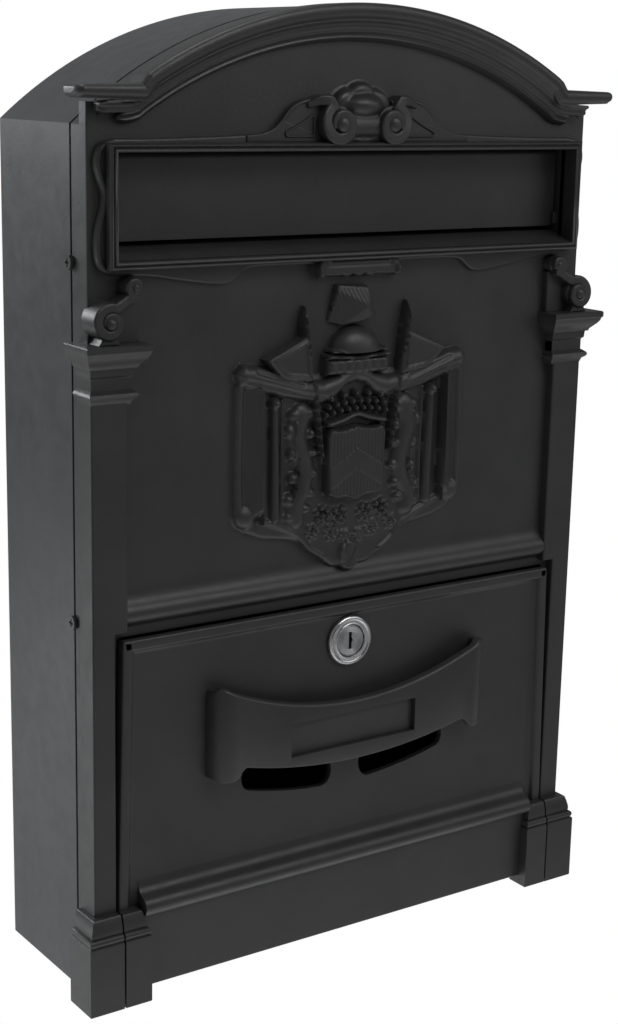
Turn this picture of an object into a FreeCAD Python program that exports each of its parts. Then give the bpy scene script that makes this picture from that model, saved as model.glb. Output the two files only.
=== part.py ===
"""Wall mounted mailbox with a cast front, a letter flap and a drop-down locking door.

Widths are measured from the middle plane, depths from the wall outwards (towards -Y) and
heights from the foot of the plinths. Each sub-part's Placement then lowers it, so that the
origin is the centre of the four wall-screw holes on the back face. +X is to the right as
one faces the front, and +Z is up.
"""
import FreeCAD, Part
import math
import os

import Sketcher

SHEET = "Dims"

DIMENSIONS = [
    # the sheet-steel box
    ("mount_height", 195.0, "foot to the centre of the wall-screw pattern"),
    ("box_half_width", 126.0, "middle to the box's side"),
    ("box_depth", 66.0, "wall to the joint between box and casting"),
    ("box_floor", 3.0, "height of the box's underside"),
    ("crown_height", 409.2, "height of the box's arched top"),
    ("arch_radius", 190.0, "radius of the box's arched top"),
    ("sheet", 1.0, "thickness of the sheet steel"),
    ("hole_half_width", 90.0, "half the width between wall screws"),
    ("hole_half_rise", 125.0, "half the height between wall screws"),
    ("hole_bore", 3.25, "radius of a wall-screw hole"),
    # the cast front, as depths from the wall
    ("field_depth", 74.0, "front of the flat fields"),
    ("web_depth", 71.0, "back of the web behind the fields"),
    ("pilaster_depth", 78.5, "front of the pilasters"),
    ("plinth_depth", 85.0, "front of the plinths"),
    ("capital_depth", 86.5, "front of the capitals"),
    ("cornice_depth", 84.6, "front of the cornice"),
    ("rim_depth", 71.5, "front of the lip that the door closes against"),
    ("lip_inner", 111.5, "middle to that lip's inner edge"),
    ("lip_outer", 122.5, "middle to that lip's outer edge"),
    ("lip_low", 157.5, "lower edge of that lip over the door"),
    ("lip_high", 172.0, "upper edge of that lip over the door"),
    ("sill_size", 4.2, "radius of the roll moulding over the door"),
    ("rim", 3.0, "thickness of the casting's rim"),
    # the cast front, as widths and heights
    ("casting_half_width", 126.4, "middle to the casting's side"),
    ("pilaster_inner", 110.8, "middle to a pilaster's inner edge"),
    ("pilaster_outer", 126.9, "middle to a pilaster's outer edge"),
    ("plinth_half_width", 132.5, "middle to a plinth's outer side"),
    ("capital_inner", 103.6, "middle to a capital's inner end"),
    ("capital_height", 279.0, "top of the capitals"),
    ("ear_half_width", 134.4, "middle to the tip of a cornice ear"),
    ("ear_height", 376.5, "top of the cornice ears"),
    ("cornice_centre", 208.5, "height of the cornice arc's centre"),
    ("cornice_outer", 201.5, "outer radius of the cornice"),
    ("sill_height", 168.5, "height of the roll moulding over the door"),
    # the letter slot and its flap
    ("slot_half_width", 115.7, "half the width of the slot"),
    ("slot_low", 310.4, "height of the slot's floor"),
    ("slot_high", 351.4, "height of the slot's ceiling"),
    ("slot_depth", 81.6, "front of the frame round the slot"),
    ("tunnel_depth", 62.0, "back of the slot's side walls"),
    ("rod_depth", 65.5, "depth of the flap's hinge rod"),
    ("rod_height", 348.4, "height of the flap's hinge rod"),
    ("rod_size", 1.5, "radius of the flap's hinge rod"),
    ("flap_low", 317.0, "height of the flap's lower edge"),
    ("flap_half_width", 115.0, "half the width of the flap"),
    ("flap_sheet", 1.2, "thickness of the flap"),
    ("knuckle", 2.6, "outer radius of the flap's rolled edge"),
    # the door
    ("door_half_width", 115.8, "half the width of the door"),
    ("door_height", 160.9, "top of the door"),
    ("door_gap", 0.8, "gap round the door"),
    ("door_back", 73.0, "back of the door"),
    ("door_panel_depth", 76.5, "front of the door's sunk panel"),
    ("door_border_depth", 79.0, "front of the door's raised border"),
    ("door_base_depth", 80.0, "front of the door's base rail"),
    ("ledge_depth", 84.0, "front of the ledge on the door"),
    ("ledge_height", 41.7, "height of the ledge's middle"),
    ("ledge_size", 4.7, "radius of the ledge's nose"),
    ("block_inner", 103.5, "middle to the inner edge of the door's plinth blocks"),
    ("hinge_depth", 81.0, "depth of the door's hinge axis"),
    ("hinge_height", 4.5, "height of the door's hinge axis"),
    ("pin_size", 1.5, "radius of a door hinge pin"),
    ("window_arc", 199.0, "radius of the view windows' lower edge"),
    ("window_centre", 273.2, "height of that arc's centre"),
    ("window_rise", 14.0, "height of the view windows"),
    # the pull handle
    ("handle_half_width", 73.0, "half the length of the handle"),
    ("handle_height", 133.0, "top of the handle's ends"),
    ("handle_low", 88.3, "lower edge of the handle at its middle"),
    ("handle_dip", 17.0, "how far the handle's upper edge dips"),
    ("handle_depth", 87.2, "front of the handle's ends"),
    ("handle_hollow", 1.0, "how far the handle's middle lies behind its ends"),
    ("handle_wall", 4.2, "thickness of the handle's band"),
    ("handle_smile", 230.0, "radius of the handle's lower edge"),
    ("post_width", 12.5, "width of a handle post"),
    ("foot_low", 90.3, "lower end of the handle posts"),
    ("plate_left", 35.6, "middle to the name recess's left edge"),
    ("plate_right", 31.0, "middle to the name recess's right edge"),
    ("plate_low", 95.8, "lower edge of the name recess"),
    ("plate_high", 111.0, "upper edge of the name recess"),
    ("recess", 2.9, "how deep the name recess is at the handle's middle"),
    ("plate_sheet", 0.5, "thickness of the name plate"),
    # the cam lock
    ("lock_height", 140.6, "height of the lock's axis"),
    ("lock_flange", 11.4, "radius of the lock's rim"),
    ("lock_body", 9.3, "radius of the lock's threaded body"),
    ("plug", 7.0, "radius of the lock's plug"),
    ("lock_front", 79.0, "front of the lock's rim"),
    ("lock_back", 60.5, "back of the lock's body"),
    ("washer_size", 13.0, "radius of the lock's washer"),
    ("nut_size", 12.7, "radius round the corners of the lock's nut"),
    ("cam_reach", 23.0, "axis to the tip of the cam"),
    ("cam_sheet", 1.8, "thickness of the cam"),
]


class Size:
    """A length that carries both its number and the sheet expression that it comes from."""

    def __init__(self, value, text):
        self.value = value
        self.text = text

    def __add__(self, other):
        other = size(other)
        return Size(self.value + other.value, "(%s + %s)" % (self.text, other.text))

    def __sub__(self, other):
        other = size(other)
        return Size(self.value - other.value, "(%s - %s)" % (self.text, other.text))

    def __rsub__(self, other):
        return size(other) - self

    def __mul__(self, factor):
        text = "(%s * %r)" % (self.text, float(abs(factor)))
        if factor < 0:
            text = "(0 - %s)" % text
        return Size(self.value * factor, text)

    def __neg__(self):
        return Size(-self.value, "(0 - %s)" % self.text)

    __radd__ = __add__
    __rmul__ = __mul__


def size(thing):
    """A Size from a Size or a plain number."""
    if isinstance(thing, Size):
        return thing
    if thing < 0:
        return Size(float(thing), "(0 - %r)" % float(-thing))
    return Size(float(thing), "%r" % float(thing))


def make_sheet(doc):
    """The spreadsheet of driving dimensions, and each of them as a Size."""
    sheet = doc.addObject("Spreadsheet::Sheet", SHEET)
    dims = {}
    for row, (alias, value, note) in enumerate(DIMENSIONS, start=1):
        sheet.set("A%d" % row, note)
        sheet.set("B%d" % row, "%g" % value)
        sheet.setAlias("B%d" % row, alias)
        dims[alias] = Size(value, "%s.%s" % (SHEET, alias))
    return dims


doc = FreeCAD.newDocument("mailbox")
D = make_sheet(doc)
doc.recompute()
NODES = []


def bind(item, prop, length):
    """Ties one property to the sheet."""
    item.setExpression(prop, size(length).text)


def place(item, x, depth, height):
    """Ties an object's position to the sheet."""
    bind(item, "Placement.Base.x", x)
    bind(item, "Placement.Base.y", -size(depth))
    bind(item, "Placement.Base.z", height)


def node(item, name):
    """Names a finished sub-part, and lowers it from the foot's frame to the mount's."""
    item.Label = name
    bind(item, "Placement.Base.z", -D["mount_height"])
    NODES.append(item)
    return item


def ordered(a, b):
    """The same two sizes, the smaller one first."""
    a, b = size(a), size(b)
    return (a, b) if a.value < b.value else (b, a)


def block(name, widths, depths, heights):
    """A box between two widths, two depths from the wall and two heights."""
    left, right = ordered(*widths)
    near, far = ordered(*depths)
    low, high = ordered(*heights)
    item = doc.addObject("Part::Box", name)
    bind(item, "Length", right - left)
    bind(item, "Width", far - near)
    bind(item, "Height", high - low)
    place(item, left, far, low)
    return item


def turned(name, rotation, radius, length):
    """A cylinder whose axis is turned from +Z by the rotation."""
    item = doc.addObject("Part::Cylinder", name)
    item.Placement = FreeCAD.Placement(FreeCAD.Vector(), rotation)
    bind(item, "Radius", radius)
    bind(item, "Height", length)
    return item


def rod_out(name, x, depths, height, radius):
    """A round bar that points out from the wall."""
    near, far = ordered(*depths)
    item = turned(name, FreeCAD.Rotation(FreeCAD.Vector(1, 0, 0), 90), radius, far - near)
    place(item, x, near, height)
    return item


def rod_across(name, widths, depth, height, radius):
    """A round bar that runs from left to right."""
    left, right = ordered(*widths)
    item = turned(name, FreeCAD.Rotation(FreeCAD.Vector(0, 1, 0), 90), radius, right - left)
    place(item, left, depth, height)
    return item


def rod_up(name, x, depth, heights, radius):
    """An upright round bar."""
    low, high = ordered(*heights)
    item = turned(name, FreeCAD.Rotation(), radius, high - low)
    place(item, x, depth, low)
    return item


def fuse(name, items):
    """One solid out of overlapping ones."""
    item = doc.addObject("Part::MultiFuse", name)
    item.Shapes = items
    item.Refine = True
    return item


def group(name, items):
    """Separate solids that share a node."""
    item = doc.addObject("Part::Compound", name)
    item.Links = items
    return item


def cut(name, base, tools):
    """The base without the tools."""
    item = doc.addObject("Part::Cut", name)
    item.Base = base
    item.Tool = tools[0] if len(tools) == 1 else group(name + "_tools", tools)
    item.Refine = True
    return item


def common(name, items):
    """What the items share."""
    item = doc.addObject("Part::MultiCommon", name)
    item.Shapes = items
    item.Refine = True
    return item


def arched(name, half_width, depths, low, radius, crown):
    """A slab with upright sides under a segmental arch."""
    slab = block(name + "_slab", (-half_width, half_width), depths, (low, crown))
    arc = rod_out(name + "_arc", 0, depths, crown - radius, radius)
    shaft = block(name + "_shaft", (-half_width, half_width), depths, (low, crown - radius))
    top = common(name + "_top", [slab, arc])
    return fuse(name, [top, shaft])


def new_body(name):
    return doc.addObject("PartDesign::Body", name)


def sketch_on(body, name, role):
    """A sketch on one of the body's own origin planes."""
    plane = [item for item in body.Origin.OriginFeatures if item.Role == role][0]
    sketch = body.newObject("Sketcher::SketchObject", name)
    sketch.AttachmentSupport = [(plane, "")]
    sketch.MapMode = "FlatFace"
    return sketch


def tie(sketch, constraint, length):
    """Adds a constraint whose size comes from the sheet."""
    index = sketch.addConstraint(constraint)
    sketch.setExpression("Constraints[%d]" % index, size(length).text)


def draw_polygon(sketch, points):
    """A closed outline of straight lines through points that the sheet sets."""
    points = [(size(a), size(b)) for a, b in points]
    spots = [FreeCAD.Vector(a.value, b.value, 0) for a, b in points]
    first = sketch.GeometryCount
    count = len(spots)
    for i in range(count):
        sketch.addGeometry(Part.LineSegment(spots[i], spots[(i + 1) % count]), False)
    for i in range(count):
        after = first + (i + 1) % count
        sketch.addConstraint(Sketcher.Constraint("Coincident", first + i, 2, after, 1))
    for i, (a, b) in enumerate(points):
        across = Sketcher.Constraint("DistanceX", -1, 1, first + i, 1, a.value)
        tie(sketch, across, a)
        along = Sketcher.Constraint("DistanceY", -1, 1, first + i, 1, b.value)
        tie(sketch, along, b)


def draw_circle(sketch, centre, radius):
    """A circle whose centre and radius the sheet sets."""
    x, y, radius = size(centre[0]), size(centre[1]), size(radius)
    middle = FreeCAD.Vector(x.value, y.value, 0)
    circle = Part.Circle(middle, FreeCAD.Vector(0, 0, 1), radius.value)
    index = sketch.addGeometry(circle, False)
    tie(sketch, Sketcher.Constraint("Radius", index, radius.value), radius)
    tie(sketch, Sketcher.Constraint("DistanceX", -1, 1, index, 3, x.value), x)
    tie(sketch, Sketcher.Constraint("DistanceY", -1, 1, index, 3, y.value), y)


def pad(body, sketch, length):
    """The sketch's outline made solid over a length, along the sketch's normal."""
    feature = body.newObject("PartDesign::Pad", body.Name + "_pad")
    feature.Profile = sketch
    bind(feature, "Length", length)
    sketch.Visibility = False
    return feature


def flat_body(name, depth, thickness, draw):
    """A flat piece that faces the front: a sketch at a depth, padded outwards."""
    body = new_body(name)
    sketch = sketch_on(body, name + "_outline", "XZ_Plane")
    draw(sketch)
    pad(body, sketch, thickness)
    bind(body, "Placement.Base.y", -size(depth))
    return body


def turned_body(name, profile):
    """A piece turned about the axis that points out from the wall, from (radius, depth) points.

    The profile is drawn in the XY plane, where a depth is a negative y.
    """
    body = new_body(name)
    sketch = sketch_on(body, name + "_profile", "XY_Plane")
    draw_polygon(sketch, [(radius, -size(depth)) for radius, depth in profile])
    feature = body.newObject("PartDesign::Revolution", name + "_turn")
    feature.Profile = sketch
    feature.ReferenceAxis = (sketch, ["V_Axis"])
    feature.Angle = 360.0
    sketch.Visibility = False
    return body


# ---------------------------------------------------------------- the sheet-steel box

# The screws that hold the casting in the box, two on each side.
SCREW_DEPTH = 61.0
SCREW_HEIGHTS = (164.0, 309.0)
SCREW_SHANK = 1.75
SCREW_HEAD = 2.9
SCREW_LENGTH = 6.0
SCREW_HEAD_RISE = 1.5
SCREW_CROSS = (1.7, 0.4)

# How far the floor panel's folded lips stand up, and how far forward the side ones run.
FLOOR_LIP_RISE = 9.0
FLOOR_LIP_END = 52.0


def make_box():
    half, thin = D["box_half_width"], D["sheet"]
    inner = half - thin
    whole = (0, D["box_depth"])
    outside = arched("wrap_outside", half, whole, D["box_floor"], D["arch_radius"], D["crown_height"])
    beyond = (-1, D["box_depth"] + 1)
    radius, crown = D["arch_radius"] - thin, D["crown_height"] - thin
    inside = arched("wrap_inside", inner, beyond, D["box_floor"] - 1, radius, crown)
    holes = []
    for side in (-1, 1):
        for level, height in enumerate(SCREW_HEIGHTS):
            ends = ordered(half * side - 2, half * side + 2)
            name = "wrap_hole_%d_%d" % (side + 1, level)
            holes.append(rod_across(name, ends, SCREW_DEPTH, height, SCREW_SHANK + 0.3))
    node(cut("wrap_shell", outside, [inside] + holes), "wrap_shell")

    fit = 0.05
    panel = arched("back_sheet", inner - fit, (0, thin), D["box_floor"], radius - fit, crown - fit)
    bores = []
    for x in (-D["hole_half_width"], D["hole_half_width"]):
        for rise in (-D["hole_half_rise"], D["hole_half_rise"]):
            height = D["mount_height"] + rise
            name = "wall_hole_%d" % len(bores)
            bores.append(rod_out(name, x, (-1, 3), height, D["hole_bore"]))
    node(cut("back_panel", panel, bores), "back_panel")

    span = (fit - inner, inner - fit)
    floor_heights = (D["box_floor"], D["box_floor"] + thin)
    floor = block("floor_sheet", span, (thin, D["box_depth"]), floor_heights)
    lip_low = D["box_floor"] + thin
    lips = (lip_low, lip_low + FLOOR_LIP_RISE)
    rear = block("floor_rear_lip", span, (thin, thin * 2), lips)
    sides = []
    for side in (-1, 1):
        edge = (inner - fit) * side
        widths = (edge, edge - side * thin)
        sides.append(block("floor_side_lip_%d" % side, widths, (thin, FLOOR_LIP_END), lips))
    node(fuse("floor_panel", [floor, rear] + sides), "floor_panel")


def make_side_screws():
    screws = []
    for side in (-1, 1):
        for level, height in enumerate(SCREW_HEIGHTS):
            key = "side_screw_%d_%d" % (side + 1, level)
            surface = D["box_half_width"] * side
            inside = surface - side * SCREW_LENGTH
            crown = surface + side * SCREW_HEAD_RISE
            shank = rod_across(key + "_shank", (inside, surface), SCREW_DEPTH, height, SCREW_SHANK)
            head = rod_across(key + "_head", (surface, crown), SCREW_DEPTH, height, SCREW_HEAD)
            sunk = (surface + side * 0.8, crown + side)
            long, short = SCREW_CROSS
            level_bar = ((SCREW_DEPTH - long, SCREW_DEPTH + long), (height - short, height + short))
            upright_bar = ((SCREW_DEPTH - short, SCREW_DEPTH + short), (height - long, height + long))
            cross_a = block(key + "_slot_a", sunk, *level_bar)
            cross_b = block(key + "_slot_b", sunk, *upright_bar)
            whole = fuse(key + "_solid", [shank, head])
            screws.append(cut(key, whole, [cross_a, cross_b]))
    node(group("side_screws", screws), "side_screws")


# ---------------------------------------------------------------- the cast front

# Middle to the inner and outer ends of a door hinge pin.
PIN_ENDS = (106.0, 128.0)

# The side flanges that slide into the box: (inner, outer) width, back depth and (low, high).
FLANGE_WIDTHS = (121.9, 124.9)
FLANGE_BACK = 54.0
FLANGE_HEIGHTS = (8.0, 352.0)
# The cross rail under the door and the tab that the lock's cam turns behind.
RAIL_DEPTH, RAIL_HIGH = 69.5, 13.0
KEEPER_HALF, KEEPER_BACK = 20.0, 61.3
# Each step is (low, high, overhang past the pilaster's edge, depth behind the front member).
PLINTH_STEPS = ((0.0, 31.5, 0.0, 0.0), (31.5, 36.0, 1.2, 1.2), (36.0, 41.5, 3.0, 3.0))
CAPITAL_STEPS = (
    (-7.0, 0.0, 0.0, 0.0),
    (-11.0, -7.0, 1.5, 2.0),
    (-16.0, -11.0, 3.2, 3.9),
    (-21.0, -16.0, 4.7, 5.3),
    (-24.0, -21.0, 4.4, 4.9),
)
# The rolled ends of the consoles on the capitals: name, middle, front, height and radius.
CONSOLE_ROUNDS = (("_volute", 120.5, 84.0, 287.5, 8.6), ("_curl", 108.5, 82.0, 300.5, 4.6))
# Each tier is (outer inset, inner inset, set back from the cornice's front, ear's end inset).
CORNICE_TIERS = ((0.0, 6.0, 0.0, 0.0), (6.0, 10.5, 3.1, 11.4), (10.5, 15.0, 6.1, 21.4))


def frame_shell():
    """The web, its rim and the flanges that slide into the box."""
    half, rim = D["casting_half_width"], D["rim"]
    lift = 0.4
    outline = (D["box_depth"], D["field_depth"])
    radius, crown = D["arch_radius"] + lift, D["crown_height"] + lift
    outside = arched("web_outside", half, outline, D["box_floor"], radius, crown)
    hollow = (D["box_depth"] - 1, D["web_depth"])
    low = D["box_floor"] - 1
    inside = arched("web_inside", half - rim, hollow, low, radius - rim, crown - rim)
    solids = [cut("web", outside, [inside])]
    for side in (-1, 1):
        widths = (side * FLANGE_WIDTHS[0], side * FLANGE_WIDTHS[1])
        depths = (FLANGE_BACK, D["web_depth"])
        solids.append(block("flange_%d" % (side + 1), widths, depths, FLANGE_HEIGHTS))
    return solids


def frame_door_surround():
    """The lip behind the door, the cross rail under it, the lock's keeper and the sill roll."""
    near, far = D["box_depth"], D["rim_depth"]
    bottom, low, high = D["box_floor"], D["lip_low"], D["lip_high"]
    outer = D["lip_outer"]
    solids = []
    for side in (-1, 1):
        widths = (D["lip_inner"] * side, outer * side)
        solids.append(block("door_lip_%d" % (side + 1), widths, (near, far), (bottom, high)))
    solids.append(block("door_lip_top", (-outer, outer), (near, far), (low, high)))
    solids.append(block("cross_rail", (-outer, outer), (near, RAIL_DEPTH), (bottom, RAIL_HIGH)))
    keeper = (-KEEPER_HALF, KEEPER_HALF)
    solids.append(block("lock_keeper", keeper, (KEEPER_BACK, near + 2), (low, high)))
    span = (-D["pilaster_inner"] - 1, D["pilaster_inner"] + 1)
    solids.append(rod_across("sill_roll", span, D["field_depth"], D["sill_height"], D["sill_size"]))
    return solids


def frame_columns():
    """The pilasters with their plinths, capitals and scrolled consoles."""
    gap = D["door_half_width"] + D["door_gap"]
    near = D["box_depth"]
    solids = []
    for side in (-1, 1):
        key = "right" if side > 0 else "left"
        outer = D["pilaster_outer"] * side
        depths = (D["web_depth"], D["pilaster_depth"])
        top = D["capital_height"] + CAPITAL_STEPS[0][0]
        above = D["door_height"] + D["door_gap"]
        inner = D["pilaster_inner"] * side
        solids.append(block(key + "_pilaster", (inner, outer), depths, (above, top)))
        jamb = (PLINTH_STEPS[0][0] + 10, above + 8)
        solids.append(block(key + "_jamb", (gap * side, outer), (near, D["pilaster_depth"]), jamb))
        for i, (low, high, inset, back) in enumerate(PLINTH_STEPS):
            widths = (gap * side, (D["plinth_half_width"] - inset) * side)
            depths = (near, D["plinth_depth"] - back)
            solids.append(block("%s_plinth_%d" % (key, i), widths, depths, (low, high)))
        for i, (low, high, inset, back) in enumerate(CAPITAL_STEPS):
            widths = ((D["capital_inner"] + inset) * side, (D["plinth_half_width"] - inset) * side)
            depths = (D["web_depth"], D["capital_depth"] - back)
            heights = (D["capital_height"] + low, D["capital_height"] + high)
            solids.append(block("%s_capital_%d" % (key, i), widths, depths, heights))
            sides = ((D["casting_half_width"] - 1) * side, widths[1])
            solids.append(block("%s_return_%d" % (key, i), sides, (67, depths[1]), heights))
        for name, x, front, height, radius in CONSOLE_ROUNDS:
            solids.append(rod_out(key + name, x * side, (D["web_depth"], front), height, radius))
        widths = (106.5 * side, 119.5 * side)
        solids.append(block(key + "_console", widths, (D["web_depth"], 80.0), (288.0, 299.0)))
    return solids


# The stops that hold the closed flap's lower corners: inner width, (back, front) and (low, high).
STOP_INNER = 113.4
STOP_DEPTHS = (69.1, 70.3)
STOP_HEIGHTS = (318.0, 323.0)
BUFFER_GAP = 0.15


def frame_slot():
    """The frame round the letter slot, its side walls, its floor and the flap's stops."""
    half, low, high = D["slot_half_width"], D["slot_low"], D["slot_high"]
    web = D["web_depth"]
    solids = [
        block("slot_frame", (-half - 4.9, half + 4.9), (web, D["slot_depth"]), (low - 3, high + 3)),
        block("slot_border", (-half - 6.8, half + 6.8), (web, 76.3), (low - 9, high + 7)),
        block("slot_floor", (-half - 3, half + 3), (D["tunnel_depth"], web + 1), (low - 3, low)),
    ]
    for side in (-1, 1):
        widths = (half * side, (half + 3) * side)
        depths = (D["tunnel_depth"], web + 1)
        solids.append(block("slot_wall_%d" % (side + 1), widths, depths, (low - 3, high + 3)))
    return solids


def frame_cornice():
    """The arched cornice in three tiers, and the ears that they turn into."""
    centre, outer = D["cornice_centre"], D["cornice_outer"]
    field = D["web_depth"]
    solids = []
    for i, (top, bottom, back, ear_inset) in enumerate(CORNICE_TIERS):
        front = D["cornice_depth"] - back
        ring_out = rod_out("tier_%d_out" % i, 0, (field, front), centre, outer - top)
        ring_in = rod_out("tier_%d_in" % i, 0, (field - 1, front + 1), centre, outer - bottom)
        ring = cut("tier_%d_ring" % i, ring_out, [ring_in])
        reach = 111.0 - i * 1.5
        window = block("tier_%d_window" % i, (-reach, reach), (field - 1, front + 1), (355, 420))
        solids.append(common("tier_%d" % i, [ring, window]))
        high = D["ear_height"] - top
        low = D["ear_height"] - bottom
        for side in (-1, 1):
            widths = (side * (103.0 - i * 2.0), (D["ear_half_width"] - ear_inset) * side)
            depths = (D["field_depth"] - 1, front)
            solids.append(block("ear_%d_%d" % (i, side + 1), widths, depths, (low, high)))
    return solids


def frame_ornament():
    """The masses of the crest over the slot and of the relief on the field."""
    web = D["web_depth"]
    solids = [
        block("crest_shoulders", (-42, 42), (web, 78.0), (357.5, 361.5)),
        rod_out("crest_shell", 0, (web, 82.0), 370.5, 9.0),
        block("relief_mantle", (-57, 57), (web, 77.0), (243.0, 264.0)),
        block("relief_drapes", (-50, 50), (web, 77.0), (190.0, 245.0)),
        block("relief_shield", (-17, 17), (web, 79.5), (200.0, 241.0)),
        rod_out("relief_foot", 0, (web, 77.0), 194.0, 20.0),
        rod_out("relief_dome", 0, (web, 79.5), 258.0, 15.0),
        block("relief_finial", (-11, 11), (web, 77.5), (270.0, 297.0)),
    ]
    for side in (-1, 1):
        key = "right" if side > 0 else "left"
        solids.append(rod_out(key + "_crest_volute", 13.5 * side, (web, 83.0), 362.0, 8.8))
    return solids


def make_front_frame():
    solids = frame_shell() + frame_door_surround() + frame_columns()
    solids += frame_slot() + frame_cornice() + frame_ornament()
    half, low, high = D["slot_half_width"], D["slot_low"], D["slot_high"]
    door = D["door_half_width"] + D["door_gap"]
    door_heights = (-5, D["door_height"] + D["door_gap"])
    inside_lip = (-D["lip_inner"], D["lip_inner"])
    tools = [
        block("slot_cut", (-half, half), (50, 100), (low, high)),
        block("door_cut", (-door, door), (D["rim_depth"], 100), door_heights),
        block("lip_cut", inside_lip, (D["box_depth"] - 1, 100), (RAIL_HIGH, D["lip_low"])),
    ]
    for side in (-1, 1):
        key = "right" if side > 0 else "left"
        rod_end = (half * side, (half + 4) * side)
        bore = D["rod_size"] + 0.02
        tools.append(rod_across(key + "_rod_hole", rod_end, D["rod_depth"], D["rod_height"], bore))
        pin = ((D["door_half_width"] - 2) * side, (PIN_ENDS[1] + 0.5) * side)
        bore = D["pin_size"] + 0.02
        tools.append(rod_across(key + "_pin_hole", pin, D["hinge_depth"], D["hinge_height"], bore))
        for level, height in enumerate(SCREW_HEIGHTS):
            ends = (side * (FLANGE_WIDTHS[0] - 2), side * (FLANGE_WIDTHS[1] + 1))
            name = "%s_tap_%d" % (key, level)
            tools.append(rod_across(name, ends, SCREW_DEPTH, height, SCREW_SHANK + 0.03))
    casting = cut("casting", fuse("casting_solid", solids), tools)
    stops = []
    for side in (-1, 1):
        widths = (side * STOP_INNER, side * (half + 0.8))
        stops.append(block("flap_stop_%d" % (side + 1), widths, STOP_DEPTHS, STOP_HEIGHTS))
    node(fuse("front_frame", [casting] + stops), "front_frame")


# ---------------------------------------------------------------- the letter flap


def make_flap():
    half, depth, height = D["flap_half_width"], D["rod_depth"], D["rod_height"]
    low = D["flap_low"]
    roll = rod_across("flap_roll", (-half, half), depth, height, D["knuckle"])
    front = depth + D["knuckle"]
    back = front - D["flap_sheet"]
    plate = block("flap_plate", (-half, half), (back, front), (low, height))
    hem = block("flap_hem", (-half, half), (back - 1.0, back + 0.2), (low, low + 5))
    solid = fuse("flap_solid", [roll, plate, hem])
    bore = rod_across("flap_bore", (-half - 1, half + 1), depth, height, D["rod_size"] + 0.06)
    node(cut("slot_flap", solid, [bore]), "slot_flap")

    reach = D["slot_half_width"] + 5.3
    rod = rod_across("rod_bar", (-reach, reach), depth, height, D["rod_size"])
    tips = []
    clips = []
    for side in (-1, 1):
        tip = (reach * side, (reach + 0.4) * side)
        tips.append(rod_across("rod_tip_%d" % (side + 1), tip, depth, height, D["rod_size"] - 0.3))
        clip_at = (D["slot_half_width"] + 3.3) * side
        clip = (clip_at, clip_at + side * 0.8)
        disc = rod_across("clip_disc_%d" % (side + 1), clip, depth, height, D["rod_size"] + 1.3)
        wider = (clip_at - side * 1.0, clip_at + side * 2.0)
        eye = rod_across("clip_eye_%d" % (side + 1), wider, depth, height, D["rod_size"] + 0.02)
        clips.append(cut("clip_%d" % (side + 1), disc, [eye]))
    node(fuse("flap_rod", [rod] + tips), "flap_rod")
    node(group("rod_clips", clips), "rod_clips")

    pads = []
    for side in (-1, 1):
        widths = (side * (STOP_INNER + 0.2), half * side)
        depths = (front + BUFFER_GAP, STOP_DEPTHS[0])
        heights = (STOP_HEIGHTS[0] + 0.5, STOP_HEIGHTS[1] - 0.5)
        pads.append(block("flap_buffer_%d" % (side + 1), widths, depths, heights))
    node(group("flap_buffers", pads), "flap_buffers")


# ---------------------------------------------------------------- the door


# Width of the door's raised border, and how far it runs down behind the ledge.
BORDER_WIDTH = 5.5
BORDER_LOW = 30.0
# The lower and upper edge of the door's base rail.
BASE_HEIGHTS = (4.7, 42.0)
# The middle widths between which each view window is of full height.
WINDOW_REACH = (13.0, 49.0)
# Middle to a handle post's screws, and the screws' heights.
POST_MIDDLE = 66.8
HANDLE_SCREW_HEIGHTS = (100.0, 122.0)
# The rubber pads between the door and its lip: (inner, outer) width and (low, high).
DOOR_BUFFER_WIDTHS = (112.2, 115.2)
DOOR_BUFFER_HEIGHTS = (138.0, 148.0)


def door_casting():
    half, top = D["door_half_width"], D["door_height"]
    back, panel = D["door_back"], D["door_panel_depth"]
    solids = [block("door_web", (-half, half), (back, panel), (8, top))]
    border = block("border_outside", (-half, half), (panel - 1, D["door_border_depth"]), (BORDER_LOW, top))
    inside = (BORDER_WIDTH - half, half - BORDER_WIDTH)
    opening = block("border_inside", inside, (panel - 2, 90), (BORDER_LOW - 10, top - BORDER_WIDTH))
    solids.append(cut("door_border", border, [opening]))
    inner = D["block_inner"]
    span = (-inner - 1, inner + 1)
    solids.append(block("base_rail", span, (back, D["door_base_depth"]), BASE_HEIGHTS))
    nose = D["ledge_depth"] - D["ledge_size"]
    solids.append(rod_across("ledge_nose", span, nose, D["ledge_height"], D["ledge_size"]))
    for side in (-1, 1):
        for i, (low, high, inset, set_back) in enumerate(PLINTH_STEPS):
            widths = ((inner + inset) * side, half * side)
            depths = (back, D["plinth_depth"] - set_back)
            name = "door_plinth_%d_%d" % (side + 1, i)
            solids.append(block(name, widths, depths, (low + 0.2 if i == 0 else low, high)))
    return fuse("door_solid", solids)


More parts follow.
